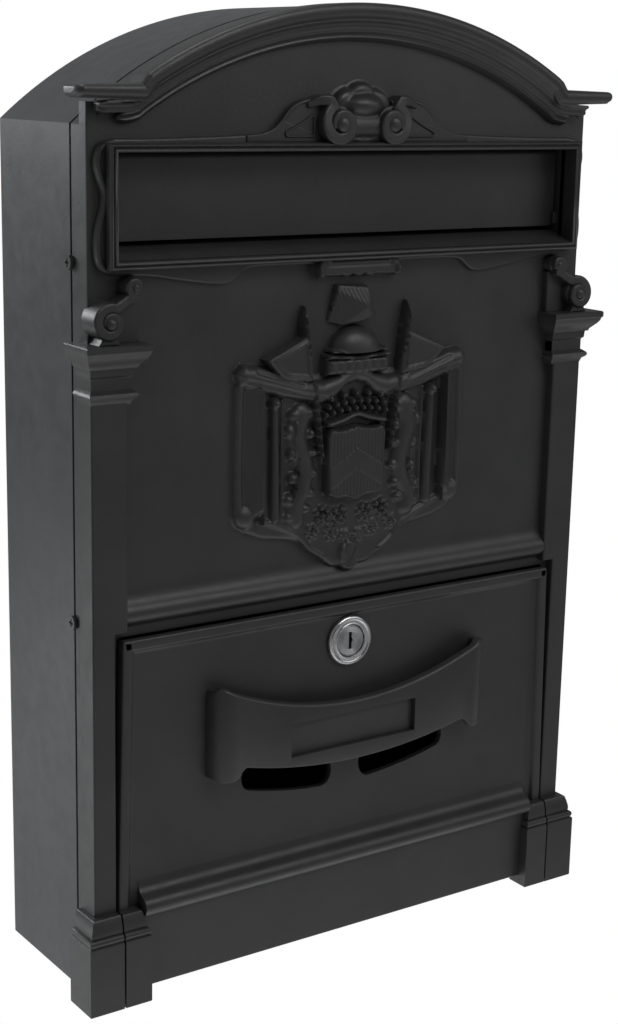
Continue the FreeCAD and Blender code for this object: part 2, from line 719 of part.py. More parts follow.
def window_cuts():
    """The two curved view windows, as pieces of a ring with round ends."""
    depths = (65, 95)
    centre, outer = D["window_centre"], D["window_arc"]
    tools = []
    for side in (-1, 1):
        key = "right" if side > 0 else "left"
        ring_out = rod_out(key + "_window_out", 0, depths, centre, outer)
        ring_in = rod_out(key + "_window_in", 0, depths, centre, outer - D["window_rise"])
        ring = cut(key + "_window_ring", ring_out, [ring_in])
        reach = ((WINDOW_REACH[0] - 0.5) * side, (WINDOW_REACH[1] + 0.5) * side)
        limits = block(key + "_window_limits", reach, depths, (60, 110))
        tools.append(common(key + "_window_middle", [ring, limits]))
        middle = outer - D["window_rise"] * 0.5
        for x in WINDOW_REACH:
            drop = math.sqrt(middle.value ** 2 - x ** 2)
            rise = middle.value - drop
            height = centre - middle + rise
            name = "%s_window_end_%d" % (key, x)
            tools.append(rod_out(name, x * side, depths, height, D["window_rise"] * 0.36))
    return tools


def make_door():
    solid = door_casting()
    tools = window_cuts()
    lock_hole = rod_out("lock_hole", 0, (60, 90), D["lock_height"], D["lock_body"] + 0.1)
    tools.append(lock_hole)
    half = D["door_half_width"]
    for side in (-1, 1):
        key = "right" if side > 0 else "left"
        ends = (side * (PIN_ENDS[0] - 0.5), (half + 1) * side)
        bore = D["pin_size"] + 0.06
        tools.append(rod_across(key + "_hinge_bore", ends, D["hinge_depth"], D["hinge_height"], bore))
        for height in HANDLE_SCREW_HEIGHTS:
            name = "%s_handle_hole_%d" % (key, height)
            tools.append(rod_out(name, POST_MIDDLE * side, (60, 90), height, 2.1))
    node(cut("door_panel", solid, tools), "door_panel")

    pins = []
    for side in (-1, 1):
        ends = (side * PIN_ENDS[0], side * PIN_ENDS[1])
        name = "hinge_pin_%d" % (side + 1)
        pins.append(rod_across(name, ends, D["hinge_depth"], D["hinge_height"], D["pin_size"]))
    node(group("hinge_pins", pins), "hinge_pins")

    pads = []
    for side in (-1, 1):
        widths = (side * DOOR_BUFFER_WIDTHS[0], side * DOOR_BUFFER_WIDTHS[1])
        depths = (D["rim_depth"], D["door_back"] - BUFFER_GAP)
        pads.append(block("door_buffer_%d" % (side + 1), widths, depths, DOOR_BUFFER_HEIGHTS))
    node(group("door_buffers", pads), "door_buffers")


def make_handle():
    half, wall = D["handle_half_width"], D["handle_wall"]
    front = D["handle_depth"]
    low, high = D["handle_low"], D["handle_height"]
    slab = block("band_slab", (-half, half), (front - wall - 3, front), (low, high))
    chord, sag = half.value, D["handle_hollow"].value
    plan_radius = (chord * chord + sag * sag) / (2 * sag)
    plan_centre = front.value - sag + plan_radius
    hollow_front = rod_up("band_hollow", 0, plan_centre, (60, 150), plan_radius)
    back_centre = plan_centre - wall.value
    back_round = rod_up("band_back", 0, back_centre, (60, 150), plan_radius)
    band_plan = common("band_plan", [slab, back_round])
    dip = D["handle_dip"].value
    dip_radius = (chord * chord + dip * dip) / (2 * dip)
    dip_at = high - dip + dip_radius
    upper = rod_out("band_dip", 0, (60, 100), dip_at, dip_radius)
    smile = D["handle_smile"]
    lower = rod_out("band_smile", 0, (60, 100), low + smile, smile)
    face = common("band_face", [band_plan, lower])
    recess_depth = front - D["handle_hollow"] - D["recess"]
    plate = (-D["plate_left"], D["plate_right"])
    recess = block("name_recess", plate, (recess_depth, 100), (D["plate_low"], D["plate_high"]))
    band = cut("band", face, [hollow_front, upper, recess])
    posts = []
    for side in (-1, 1):
        widths = ((half - D["post_width"]) * side, half * side)
        depths = (D["door_panel_depth"], front - 1.0)
        posts.append(block("post_%d" % (side + 1), widths, depths, (D["foot_low"], high - 3.5)))
    solid = fuse("handle_solid", [band] + posts)
    taps = []
    screws = []
    for side in (-1, 1):
        for height in HANDLE_SCREW_HEIGHTS:
            key = "handle_screw_%d_%d" % (side + 1, height)
            x = POST_MIDDLE * side
            tap = rod_out(key + "_tap", x, (D["door_panel_depth"] - 1, 84.5), height, 1.53)
            taps.append(tap)
            shank = rod_out(key + "_shank", x, (D["door_back"], 84.0), height, 1.5)
            head = rod_out(key + "_head", x, (D["door_back"] - 2.0, D["door_back"]), height, 3.2)
            whole = fuse(key + "_solid", [shank, head])
            slot_depths = (D["door_back"] - 2.5, D["door_back"] - 1.1)
            slot_heights = (height - 0.4, height + 0.4)
            slot = block(key + "_slot", (x - 3.5, x + 3.5), slot_depths, slot_heights)
            screws.append(cut(key, whole, [slot]))
    node(cut("pull_handle", solid, taps), "pull_handle")
    node(group("handle_screws", screws), "handle_screws")

    fit = 0.15
    left, right = -D["plate_left"] + fit, D["plate_right"] - fit
    bottom, top = D["plate_low"] + fit, D["plate_high"] - fit
    corners = [(left, bottom), (right, bottom), (right, top), (left, top)]

    def outline(sketch):
        draw_polygon(sketch, corners)

    node(flat_body("name_plate_body", recess_depth, D["plate_sheet"], outline), "name_plate")


# ---------------------------------------------------------------- the cam lock

# Width and height of the keyway; where the wafers sit; a wafer's width, thickness and height.
KEYWAY = (1.3, 7.6)
WAFER_DEPTHS = (65.5, 67.5, 69.5, 71.5, 73.5)
WAFER = (5.2, 0.8, 12.2)
# Half the width of the square end that carries the cam, and the cam's outline as seen from the front.
TANG_HALF = 3.5
CAM_BACK_REACH = 8.0
CAM_SHOULDER = 6.0
CAM_TIP_HALF = 5.0
# The screw that holds the cam: radius and height of its head, radius of its shank, and its washer.
CAM_HEAD = (3.0, 1.8)
CAM_SHANK = 1.5
CAM_WASHER = (6.0, 0.8)


def make_lock_case():
    """The flanged barrel with its gasket, washer and nut, all fixed to the door."""
    front, flange, body_radius = D["lock_front"], D["lock_flange"], D["lock_body"]
    bore = D["plug"] + 0.05
    seat = D["door_panel_depth"] + 0.5
    profile = [
        (bore, D["lock_back"]),
        (body_radius, D["lock_back"]),
        (body_radius, seat),
        (flange, seat),
        (flange, front - 0.8),
        (flange - 1.0, front),
        (bore + 1.0, front),
        (bore, front - 0.9),
    ]
    barrel = turned_body("lock_barrel_body", profile)
    node(barrel, "lock_barrel")
    bind(barrel, "Placement.Base.z", D["lock_height"] - D["mount_height"])

    def ring(outer, inner):
        def draw(sketch):
            draw_circle(sketch, (0, D["lock_height"]), outer)
            draw_circle(sketch, (0, D["lock_height"]), inner)

        return draw

    hole = body_radius + 0.1
    gasket = flat_body("lock_gasket_body", D["door_panel_depth"], 0.5, ring(flange - 0.4, hole))
    node(gasket, "lock_gasket")
    washer = flat_body("lock_washer_body", D["door_back"] - 1.0, 1.0, ring(D["washer_size"], hole))
    node(washer, "lock_washer")

    def hexagon(sketch):
        corner = D["nut_size"]
        centre = D["lock_height"]
        corners = []
        for step in range(6):
            angle = math.radians(60 * step)
            corners.append((corner * math.cos(angle), centre + corner * math.sin(angle)))
        draw_polygon(sketch, corners)
        draw_circle(sketch, (0, centre), body_radius + 0.05)

    nut = flat_body("lock_nut_body", D["door_back"] - 5.0, 4.0, hexagon)
    node(nut, "lock_nut")


def make_lock_plug():
    """The turning plug with its wafers, and the cam that it carries."""
    centre = D["lock_height"]
    face = D["lock_front"] - 0.7
    core = rod_out("plug_core", 0, (D["lock_back"], face), centre, D["plug"])
    neck = D["lock_back"] - D["cam_sheet"] - 0.4
    square = (centre - TANG_HALF, centre + TANG_HALF)
    tang = block("plug_tang", (-TANG_HALF, TANG_HALF), (neck, D["lock_back"] + 1), square)
    solid = fuse("plug_solid", [core, tang])
    wide, tall = KEYWAY
    tools = [
        block("keyway", (-wide / 2, wide / 2), (64, 90), (centre - tall / 2, centre + tall / 2)),
        rod_out("cam_tap", 0, (neck - 1, neck + 5.0), centre, CAM_SHANK + 0.03),
    ]
    wafers = []
    for i, depth in enumerate(WAFER_DEPTHS):
        across, thick, height = WAFER
        ends = (depth - 0.05, depth + thick + 0.05)
        half = across / 2 + 0.05
        rise = height / 2 + 0.05
        tools.append(block("wafer_slot_%d" % i, (-half, half), ends, (centre - rise, centre + rise)))
        tall_edge = (centre - height / 2, centre + height / 2)
        blank = block("wafer_blank_%d" % i, (-across / 2, across / 2), (depth, depth + thick), tall_edge)
        middle = centre + 0.5 * ((i * 2) % 3 - 1)
        opening = (middle - 3.9, middle + 3.9)
        hole = block("wafer_hole_%d" % i, (-1.0, 1.0), (depth - 1, depth + 2), opening)
        wafers.append(cut("wafer_%d" % i, blank, [hole]))
    node(cut("lock_plug", solid, tools), "lock_plug")
    node(group("lock_wafers", wafers), "lock_wafers")

    def cam_outline(sketch):
        reach, back, shoulder, tip = D["cam_reach"], CAM_BACK_REACH, CAM_SHOULDER, CAM_TIP_HALF
        corners = [
            (-back, centre - back),
            (shoulder, centre - back),
            (reach, centre - tip),
            (reach, centre + tip),
            (shoulder, centre + back),
            (-back, centre + back),
        ]
        draw_polygon(sketch, corners)
        eye = TANG_HALF + 0.05
        square = [(-eye, centre - eye), (eye, centre - eye), (eye, centre + eye), (-eye, centre + eye)]
        draw_polygon(sketch, square)

    cam_back = D["lock_back"] - D["cam_sheet"] - 0.2
    cam = flat_body("lock_cam_body", cam_back, D["cam_sheet"], cam_outline)
    node(cam, "lock_cam")

    washer_size, washer_thick = CAM_WASHER
    head_size, head_rise = CAM_HEAD

    def washer_outline(sketch):
        draw_circle(sketch, (0, centre), washer_size)
        draw_circle(sketch, (0, centre), CAM_SHANK + 0.1)

    seat = neck - washer_thick
    washer = flat_body("cam_washer_body", seat, washer_thick, washer_outline)
    node(washer, "cam_washer")
    head_back = seat - head_rise
    head = rod_out("cam_screw_head", 0, (head_back, seat), centre, head_size)
    shank = rod_out("cam_screw_shank", 0, (seat, neck + 4.5), centre, CAM_SHANK)
    slot_depths = (head_back - 1, head_back + 0.8)
    slot = block("cam_screw_slot", (-3.2, 3.2), slot_depths, (centre - 0.4, centre + 0.4))
    whole = fuse("cam_screw_solid", [head, shank])
    node(cut("cam_screw", whole, [slot]), "cam_screw")


def check_and_write():
    """Stops at any failed feature or bad shape, then writes one file for each sub-part."""
    doc.recompute()
    for item in doc.Objects:
        if "Invalid" in item.State or "Error" in item.State:
            raise RuntimeError("%s failed: %s" % (item.Name, item.State))
    os.makedirs("parts", exist_ok=True)
    for item in NODES:
        shape = item.Shape
        if shape.isNull() or not shape.isValid():
            raise RuntimeError("%s has a bad shape" % item.Label)
        shape.exportStep(os.path.join("parts", item.Label + ".step"))
        print("%-16s solids %d  volume %.0f mm3" % (item.Label, len(shape.Solids), shape.Volume))


make_box()
make_side_screws()
make_front_frame()
make_flap()
make_door()
make_handle()
make_lock_case()
make_lock_plug()
check_and_write()
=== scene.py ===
"""The visual model of a wall mounted mailbox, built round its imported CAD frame.

Sizes are in millimetres until a mesh is made: x from the middle plane, depth from the wall outwards
and height from the foot of the plinths. spot() turns them into metres in the frame's own axes.
"""
import math

import bmesh
import bpy
import numpy as np
from mathutils import Matrix, Vector


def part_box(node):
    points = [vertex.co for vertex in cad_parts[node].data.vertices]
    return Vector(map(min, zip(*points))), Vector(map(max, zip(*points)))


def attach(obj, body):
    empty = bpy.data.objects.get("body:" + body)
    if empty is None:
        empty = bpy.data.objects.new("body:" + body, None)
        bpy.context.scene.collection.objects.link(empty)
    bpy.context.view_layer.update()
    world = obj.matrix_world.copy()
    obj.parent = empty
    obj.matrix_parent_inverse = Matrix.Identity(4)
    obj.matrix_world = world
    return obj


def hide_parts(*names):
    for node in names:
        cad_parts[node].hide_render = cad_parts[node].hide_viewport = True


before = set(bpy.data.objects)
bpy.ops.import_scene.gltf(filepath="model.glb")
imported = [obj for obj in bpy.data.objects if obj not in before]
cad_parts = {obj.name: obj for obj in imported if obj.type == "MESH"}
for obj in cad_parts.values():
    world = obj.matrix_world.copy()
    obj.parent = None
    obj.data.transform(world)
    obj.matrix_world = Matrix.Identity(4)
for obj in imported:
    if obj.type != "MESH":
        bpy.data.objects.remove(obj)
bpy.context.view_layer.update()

MM = 0.001
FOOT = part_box("front_frame")[0].z


def spans(node):
    """A CAD node's box in millimetres: half its width, (near, far) depths and (low, high) heights."""
    low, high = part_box(node)
    return high.x / MM, (-high.y / MM, -low.y / MM), ((low.z - FOOT) / MM, (high.z - FOOT) / MM)


EAR_HALF, _, _ = spans("front_frame")
SHELL_HALF, (_, SHELL_DEPTH), (SHELL_LOW, CROWN) = spans("wrap_shell")
DOOR_HALF, (DOOR_BACK, PLINTH_DEPTH), (_, DOOR_TOP) = spans("door_panel")
HANDLE_HALF, (PANEL_DEPTH, HANDLE_DEPTH), (HANDLE_LOW, HANDLE_HIGH) = spans("pull_handle")
POST_LOW = 90.3
LOCK_RIM, (LOCK_BACK, LOCK_FRONT), (LOCK_LOW, LOCK_HIGH) = spans("lock_barrel")
PLUG, (_, PLUG_FACE), _ = spans("lock_plug")
LOCK_AXIS = (LOCK_LOW + LOCK_HIGH) / 2
PLATE_RIGHT, (PLATE_BACK, _), (PLATE_LOW, PLATE_HIGH) = spans("name_plate")
PLATE_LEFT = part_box("name_plate")[0].x / MM

# the bent sheet, and the gap between it and the casting
SHEET_EDGE, SHEET_WALL = 61.0, 1.0
SEAM = 0.9
CASTING_BACK = SHELL_DEPTH + SEAM

# the cast front: depths from the wall
FIELD = 74.0
WEB = 71.0
PILASTER_DEPTH = 78.5
CAPITAL_DEPTH = 86.5
SLOT_DEPTH = 81.6
TUNNEL_DEPTH = 62.0
FLANGE_BACK = 54
STOP_DEPTHS = (69.15, 70.3)

# the cast front: widths and heights
CASTING_STEP = 0.25
CASTING_HALF = SHELL_HALF - CASTING_STEP
FLANGE_IN, FLANGE_OUT, FLANGE_TOP = 121.9, 124.9, 352
LIP_IN, LIP_OUT, LIP_LOW, LIP_TOP = 111.5, 122.5, 157.5, 172
STOP_IN, STOP_OUT, STOP_LOW, STOP_HIGH = 113.4, 116.2, 318, 323
PILASTER_IN, PILASTER_OUT = 110.8, 126.9
PLINTH_HALF = 132.5
CAPITAL_IN = 103.6
CAPITAL_TOP = 279.0
EAR_TOP = 376.5
ARCH_RADIUS = 190.4
CORNICE_CENTRE, CORNICE_RADIUS = 208.5, 201.42
SILL = 168.5
SLOT_HALF, SLOT_LOW, SLOT_HIGH = 115.7, 310.4, 351.4
DOOR_GAP = 0.8
OPENING_HALF, OPENING_TOP = DOOR_HALF + DOOR_GAP, DOOR_TOP + DOOR_GAP
BLOCK_IN = 103.5
WINDOW_CENTRE, WINDOW_RADIUS, WINDOW_RISE = 273.2, 199.0, 14.0

# the studio: the surround's least and most light, and the floor's glow near the object and far off
SURROUND = (0.072, 0.4)
FLOOR_GLOW = (1.5, 0.14)
FLOOR_REACH = (0.28, 1.05)


# ---------------------------------------------------------------- shapes


def spot(x, depth, height):
    """A place in millimetres as a point of the frame, in metres."""
    return Vector((x * MM, -depth * MM, FOOT + height * MM))


def front(a, b, rise):
    """For a path drawn on the front: x, depth and height."""
    return a, rise, b


def plan(a, b, rise):
    """For a path drawn in plan: x, depth and height."""
    return a, b, rise


def arc(centre, radius, start, end, count):
    """Points of an arc, with its angles in degrees."""
    angles = np.radians(np.linspace(start, end, count))
    return [(centre[0] + radius * math.cos(a), centre[1] + radius * math.sin(a)) for a in angles]


def rounded(points, radii, count=6, closed=True):
    """A path with its corners rounded: each radius belongs to one point, and 0 leaves it sharp."""
    out = []
    total = len(points)
    for i, (point, radius) in enumerate(zip(points, radii)):
        here = Vector(point)
        if radius == 0 or (not closed and i in (0, total - 1)):
            out.append(tuple(here))
            continue
        before = (Vector(points[i - 1]) - here).normalized()
        after = (Vector(points[(i + 1) % total]) - here).normalized()
        half = before.angle(after) / 2
        centre = here + (before + after).normalized() * (radius / math.sin(half))
        first = here + before * (radius / math.tan(half)) - centre
        last = here + after * (radius / math.tan(half)) - centre
        for k in range(count + 1):
            out.append(tuple(centre + first.slerp(last, k / count)))
    return out


def eased(points, count=10):
    """A smooth path through a few points (Catmull-Rom)."""
    pts = np.array(points, float)
    pts = np.vstack([2 * pts[0] - pts[1], pts, 2 * pts[-1] - pts[-2]])
    out = []
    for a, b, c, d in zip(pts, pts[1:], pts[2:], pts[3:]):
        for t in np.arange(count) / count:
            curve = 2 * b + (c - a) * t + (2 * a - 5 * b + 4 * c - d) * t ** 2
            out.append(0.5 * (curve + (3 * b - a - 3 * c + d) * t ** 3))
    out.append(pts[-2])
    return [tuple(p) for p in out]


def mitres(path, closed):
    """At each point of a path, the step to its left that a parallel path takes."""
    pts = np.array(path, float)
    after = np.roll(pts, -1, axis=0) - pts
    before = pts - np.roll(pts, 1, axis=0)
    if not closed:
        after[-1] = before[-1]
        before[0] = after[0]

    def left(run):
        run = run / np.linalg.norm(run, axis=1, keepdims=True)
        return np.stack([-run[:, 1], run[:, 0]], axis=1)

    one, two = left(before), left(after)
    return (one + two) / np.maximum(1 + (one * two).sum(axis=1, keepdims=True), 0.35)


def skin_faces(count, size, ring_path=False, open_profile=False):
    """The faces between a row of equal profiles, each of them a run of points, with their end caps."""
    faces = []
    for i in range(count if ring_path else count - 1):
        j = (i + 1) % count
        for k in range(size - 1 if open_profile else size):
            n = (k + 1) % size
            faces.append((i * size + k, i * size + n, j * size + n, j * size + k))
    if not ring_path:
        faces.append(tuple(range(size)))
        faces.append(tuple(range((count - 1) * size, count * size))[::-1])
    return faces


def sweep(path, profile, view=front, closed=False, widths=None, lifts=None, shares=None):
    """A moulding: a closed profile of (step to the left, rise) points carried along a path.

    At each point of the path, widths scales the steps, lifts raises the profile, and shares scales
    its rises over the lowest one.
    """
    steps = mitres(path, closed)
    widths = np.ones(len(path)) if widths is None else widths
    lifts = np.zeros(len(path)) if lifts is None else lifts
    shares = np.ones(len(path)) if shares is None else shares
    bottom = min(rise for _, rise in profile)
    points = []
    for place, step, width, lift, share in zip(np.array(path, float), steps, widths, lifts, shares):
        for across, rise in profile:
            a, b = place + step * across * width
            points.append(view(a, b, bottom + (rise - bottom) * share + lift))
    return points, skin_faces(len(path), len(profile), closed)


def plate(loops, depths, edge=0.6):
    """A flat slab with rounded edges; the loops after the first are its holes."""
    near, far = depths
    curve = bpy.data.curves.new("outline", "CURVE")
    curve.dimensions = "2D"
    curve.fill_mode = "BOTH"
    curve.extrude = (far - near) / 2 - edge
    curve.bevel_depth = edge
    curve.offset = -edge
    curve.bevel_resolution = 2
    for loop in loops:
        spline = curve.splines.new("POLY")
        spline.points.add(len(loop) - 1)
        for point, (a, b) in zip(spline.points, loop):
            point.co = (a, b, 0, 1)
        spline.use_cyclic_u = True
    holder = bpy.data.objects.new("outline", curve)
    mesh = bpy.data.meshes.new_from_object(holder)
    middle = (near + far) / 2
    points = [(v.co.x, middle + v.co.z, v.co.y) for v in mesh.vertices]
    faces = [tuple(p.vertices) for p in mesh.polygons]
    bpy.data.objects.remove(holder)
    bpy.data.curves.remove(curve)
    bpy.data.meshes.remove(mesh)
    return points, faces


def slab(widths, depths, heights, edge=0.6):
    """A block with rounded edges."""
    (left, right), (low, high) = sorted(widths), sorted(heights)
    return plate([[(left, low), (right, low), (right, high), (left, high)]], depths, edge)


def turned(profile, x, height, count=48):
    """A round piece whose axis points out from the wall, from (radius, depth) points."""
    points = []
    for i in range(count):
        angle = 2 * math.pi * i / count
        for radius, depth in profile:
            points.append((x + radius * math.cos(angle), depth, height + radius * math.sin(angle)))
    return points, skin_faces(count, len(profile), True, True)


def mirrored(part):
    """The same solid on the other side of the middle plane."""
    points, faces = part
    return [(-x, depth, height) for x, depth, height in points], [f[::-1] for f in faces]


def both(*parts):
    """Solids and their mirror images."""
    return list(parts) + [mirrored(part) for part in parts]


def rectangle(half, low, high):
    """A rectangle round the middle plane, from its lower left corner."""
    return [(-half, low), (half, low), (half, high), (-half, high)]


def piece(name, parts, body, material, replaces=(), slot=None, sharp=38, weighted=True):
    """One object out of closed solids, riding on a body."""
    points, faces = [], []
    for some_points, some_faces in parts:
        start = len(points)
        points += [spot(*p) for p in some_points]
        faces += [tuple(i + start for i in face) for face in some_faces]
    mesh = bpy.data.meshes.new(name)
    mesh.from_pydata(points, [], faces)
    work = bmesh.new()
    work.from_mesh(mesh)
    bmesh.ops.remove_doubles(work, verts=work.verts, dist=0.000004)
    bmesh.ops.dissolve_degenerate(work, edges=work.edges, dist=0.000002)
    bmesh.ops.recalc_face_normals(work, faces=work.faces)
    work.to_mesh(mesh)
    work.free()
    mesh.shade_smooth()
    mesh.set_sharp_from_angle(angle=math.radians(sharp))
    mesh.materials.append(material)
    thing = bpy.data.objects.new(name, mesh)
    bpy.context.scene.collection.objects.link(thing)
    if weighted:
        soften = thing.modifiers.new("flat_faces_stay_flat", "WEIGHTED_NORMAL")
        soften.keep_sharp = True
    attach(thing, body)
    if replaces:
        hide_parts(*replaces)
    return thing


# ---------------------------------------------------------------- relief, as a depth over the front


def over(a, b, blend=0.5):
    """The higher of two surfaces, with a soft join."""
    return (a + b + np.sqrt((a - b) ** 2 + blend ** 2)) / 2


def to_line(X, Z, points):
    """The distance from each place to a line through points, and how far along it the nearest part is."""
    best = np.full(X.shape, 1e9)
    along = np.zeros(X.shape)
    pts = np.array(points, float)
    count = len(pts) - 1
    for i in range(count):
        (ax, az), (bx, bz) = pts[i], pts[i + 1]
        run = (bx - ax) ** 2 + (bz - az) ** 2
        t = np.clip(((X - ax) * (bx - ax) + (Z - az) * (bz - az)) / run, 0, 1)
        gap = np.hypot(X - ax - t * (bx - ax), Z - az - t * (bz - az))
        nearer = gap < best
        best = np.where(nearer, gap, best)
        along = np.where(nearer, (i + t) / count, along)
    return best, along


def ridge(X, Z, points, radius, rise, smooth=True):
    """A round ridge along a line; the radius may go from one size to another."""
    gap, along = to_line(X, Z, eased(points, 6) if smooth and len(points) > 2 else points)
    start, end = radius if isinstance(radius, tuple) else (radius, radius)
    size = start + (end - start) * along
    return rise * np.sqrt(np.clip(1 - (gap / size) ** 2, 0, 1)) - np.clip(gap / size - 1, 0, 1) * 1.5


def mound(X, Z, x, z, across, up, rise):
    """A rounded mound on an oval foot."""
    far = np.hypot((X - x) / across, (Z - z) / up)
    return rise * np.sqrt(np.clip(1 - far ** 2, 0, 1)) - np.clip(far - 1, 0, 1) * 1.5


def inside(X, Z, points):
    """How far each place is inside an outline, negative outside it."""
    closed = list(points) + [points[0]]
    gap, _ = to_line(X, Z, closed)
    odd = np.zeros(X.shape, bool)
    for (ax, az), (bx, bz) in zip(closed, closed[1:]):
        if az != bz:
            crosses = (az > Z) != (bz > Z)
            odd ^= crosses & (X < (bx - ax) * (Z - az) / (bz - az) + ax)
    return np.where(odd, gap, -gap)


def terrace(depth_inside, edge, rise):
    """A flat raised area whose edge is rounded over a width."""
    t = np.clip(depth_inside / edge, -1, 1)
    return np.where(t > 0, rise * np.sqrt(np.clip(1 - (1 - t) ** 2, 0, 1)), t * 1.5)


def relief(surface, half, heights, base, step, skirt=0.6):
    """A closed solid whose front is base + surface(x, height), kept only where it stands out."""
    xs = np.arange(-half, half + step / 2, step)
    zs = np.arange(heights[0], heights[1] + step / 2, step)
    X, Z = np.meshgrid(xs, zs)
    rise = np.maximum(surface(X, Z), -skirt)
    cells = rise > 0.02 - skirt
    wanted = cells[:-1, :-1] | cells[1:, :-1] | cells[:-1, 1:] | cells[1:, 1:]
    number = -np.ones(X.shape, int)
    used = np.zeros(X.shape, bool)
    for dz in (0, 1):
        for dx in (0, 1):
            used[dz:dz + wanted.shape[0], dx:dx + wanted.shape[1]] |= wanted
    number[used] = np.arange(used.sum())
    top = [(x, base + r, z) for x, r, z in zip(X[used], rise[used], Z[used])]
    back = [(x, base - skirt - 0.4, z) for x, z in zip(X[used], Z[used])]
    count = len(top)
    faces = []
    rows, columns = np.nonzero(wanted)
    for r, c in zip(rows, columns):
        corners = (number[r, c], number[r, c + 1], number[r + 1, c + 1], number[r + 1, c])
        faces.append(tuple(int(i) for i in corners))
        faces.append(tuple(int(i) + count for i in corners[::-1]))
        sides = (
            (r > 0 and wanted[r - 1, c], 0, 1),
            (c + 1 < wanted.shape[1] and wanted[r, c + 1], 1, 2),
            (r + 1 < wanted.shape[0] and wanted[r + 1, c], 2, 3),
            (c > 0 and wanted[r, c - 1], 3, 0),
        )
        for joined, a, b in sides:
            if not joined:
                p, q = int(corners[a]), int(corners[b])
                faces.append((q, p, p + count, q + count))
    return top + back, faces


# ---------------------------------------------------------------- materials


class Nodes:
    """A node tree in the making."""

    def __init__(self, tree):
        self.tree = tree

    def fix(self, item, **settings):
        """Sets attributes of a node, or sockets, whose names have _ for a space."""
        for key, value in settings.items():
            if hasattr(item, key):
                setattr(item, key, value)
            else:
                item.inputs[key.replace("_", " ")].default_value = value

    def add(self, kind, **settings):
        item = self.tree.nodes.new(kind)
        self.fix(item, **settings)
        return item

    def link(self, source, item, socket):
        self.tree.links.new(source, item.inputs[socket])

    def white_to_camera(self, lit, white, output):
        """Shows a white shader to the camera, and another one to all other rays."""
        rays = self.add("ShaderNodeLightPath")
        mix = self.add("ShaderNodeMixShader")
        self.link(rays.outputs["Is Camera Ray"], mix, "Fac")
        self.link(lit.outputs[0], mix, 1)
        self.link(white.outputs[0], mix, 2)
        self.link(mix.outputs["Shader"], self.tree.nodes[output], "Surface")


class Finish(Nodes):
    """A material, with the object's own coordinates for its textures."""

    def __init__(self, name):
        self.material = bpy.data.materials.new(name)
        self.material.use_nodes = True
        super().__init__(self.material.node_tree)
        self.shader = self.tree.nodes["Principled BSDF"]
        self.places = self.add("ShaderNodeTexCoord")

    def noise(self, scale, detail=3.0, roughness=0.5):
        item = self.add("ShaderNodeTexNoise", Scale=scale, Detail=detail, Roughness=roughness)
        self.link(self.places.outputs["Object"], item, "Vector")
        return item

    def vary(self, socket, texture, *stops):
        """Drives a socket of the shader by a texture, through (position, colour) stops."""
        item = self.add("ShaderNodeValToRGB")
        for element, (where, colour) in zip(item.color_ramp.elements, stops):
            element.position = where
            element.color = (*colour, 1.0)
        self.link(texture.outputs["Fac"], item, "Fac")
        self.link(item.outputs["Color"], self.shader, socket)

    def bump(self, texture, strength, distance, under=None):
        """Raises the shading by a texture, over an earlier bump."""
        item = self.add("ShaderNodeBump", Strength=strength, Distance=distance)
        self.link(texture.outputs["Fac"], item, "Height")
        if under:
            self.link(under.outputs["Normal"], item, "Normal")
        self.link(item.outputs["Normal"], self.shader, "Normal")
        return item


def grey(value, warmth=0.0):
    return (value * (1 + warmth), value, value * (1 - warmth))


def powder_coat(name, base, rough, tint=0.0, peel=0.10, blotch=0.14):
    """Satin powder coat: an orange-peel skin, fine grain, and faint dusty patches."""
    finish = Finish(name)
    dark, light = base * (1 - blotch), base * (1 + blotch)
    patches = finish.noise(26.0, 4.0, 0.6)
    finish.vary("Base Color", patches, (0.35, grey(dark, tint)), (0.68, grey(light, tint)))
    mottle = finish.noise(140.0, 3.0, 0.55)
    finish.vary("Roughness", mottle, (0.3, grey(rough - 0.05)), (0.7, grey(rough + 0.06)))
    skin, grain = finish.noise(620.0, 2.0, 0.5), finish.noise(2600.0, 2.0, 0.6)
    finish.bump(grain, peel * 0.8, 0.0002, finish.bump(skin, peel, 0.0006))
    return finish.material


def plated(name, colour, rough, scratch=0.03, streak=(900.0, 40.0, 900.0)):
    """Plated or bare metal: cloudy roughness and fine rubbed lines."""
    finish = Finish(name)
    clouds = finish.noise(320.0, 4.0, 0.6)
    dull = tuple(c * 0.82 for c in colour)
    finish.vary("Base Color", clouds, (0.3, dull), (0.7, colour))
    finish.vary("Roughness", clouds, (0.3, grey(rough * 1.6)), (0.7, grey(rough)))
    stretch = finish.add("ShaderNodeMapping", Scale=streak)
    finish.link(finish.places.outputs["Object"], stretch, "Vector")
    lines = finish.add("ShaderNodeTexNoise", Scale=1.0, Detail=2.0)
    finish.link(stretch.outputs["Vector"], lines, "Vector")
    finish.bump(lines, scratch, 0.0002)
    finish.fix(finish.shader, Metallic=1.0)
    return finish.material


def rubber(name, base):
    """Matt rubber with a fine grain and a little dust."""
    finish = Finish(name)
    dust = finish.noise(260.0, 5.0, 0.65)
    finish.vary("Base Color", dust, (0.35, grey(base * 0.7)), (0.75, grey(base * 1.6)))
    finish.bump(finish.noise(2200.0, 3.0, 0.6), 0.25, 0.0002)
    finish.fix(finish.shader, Roughness=0.85)
    return finish.material


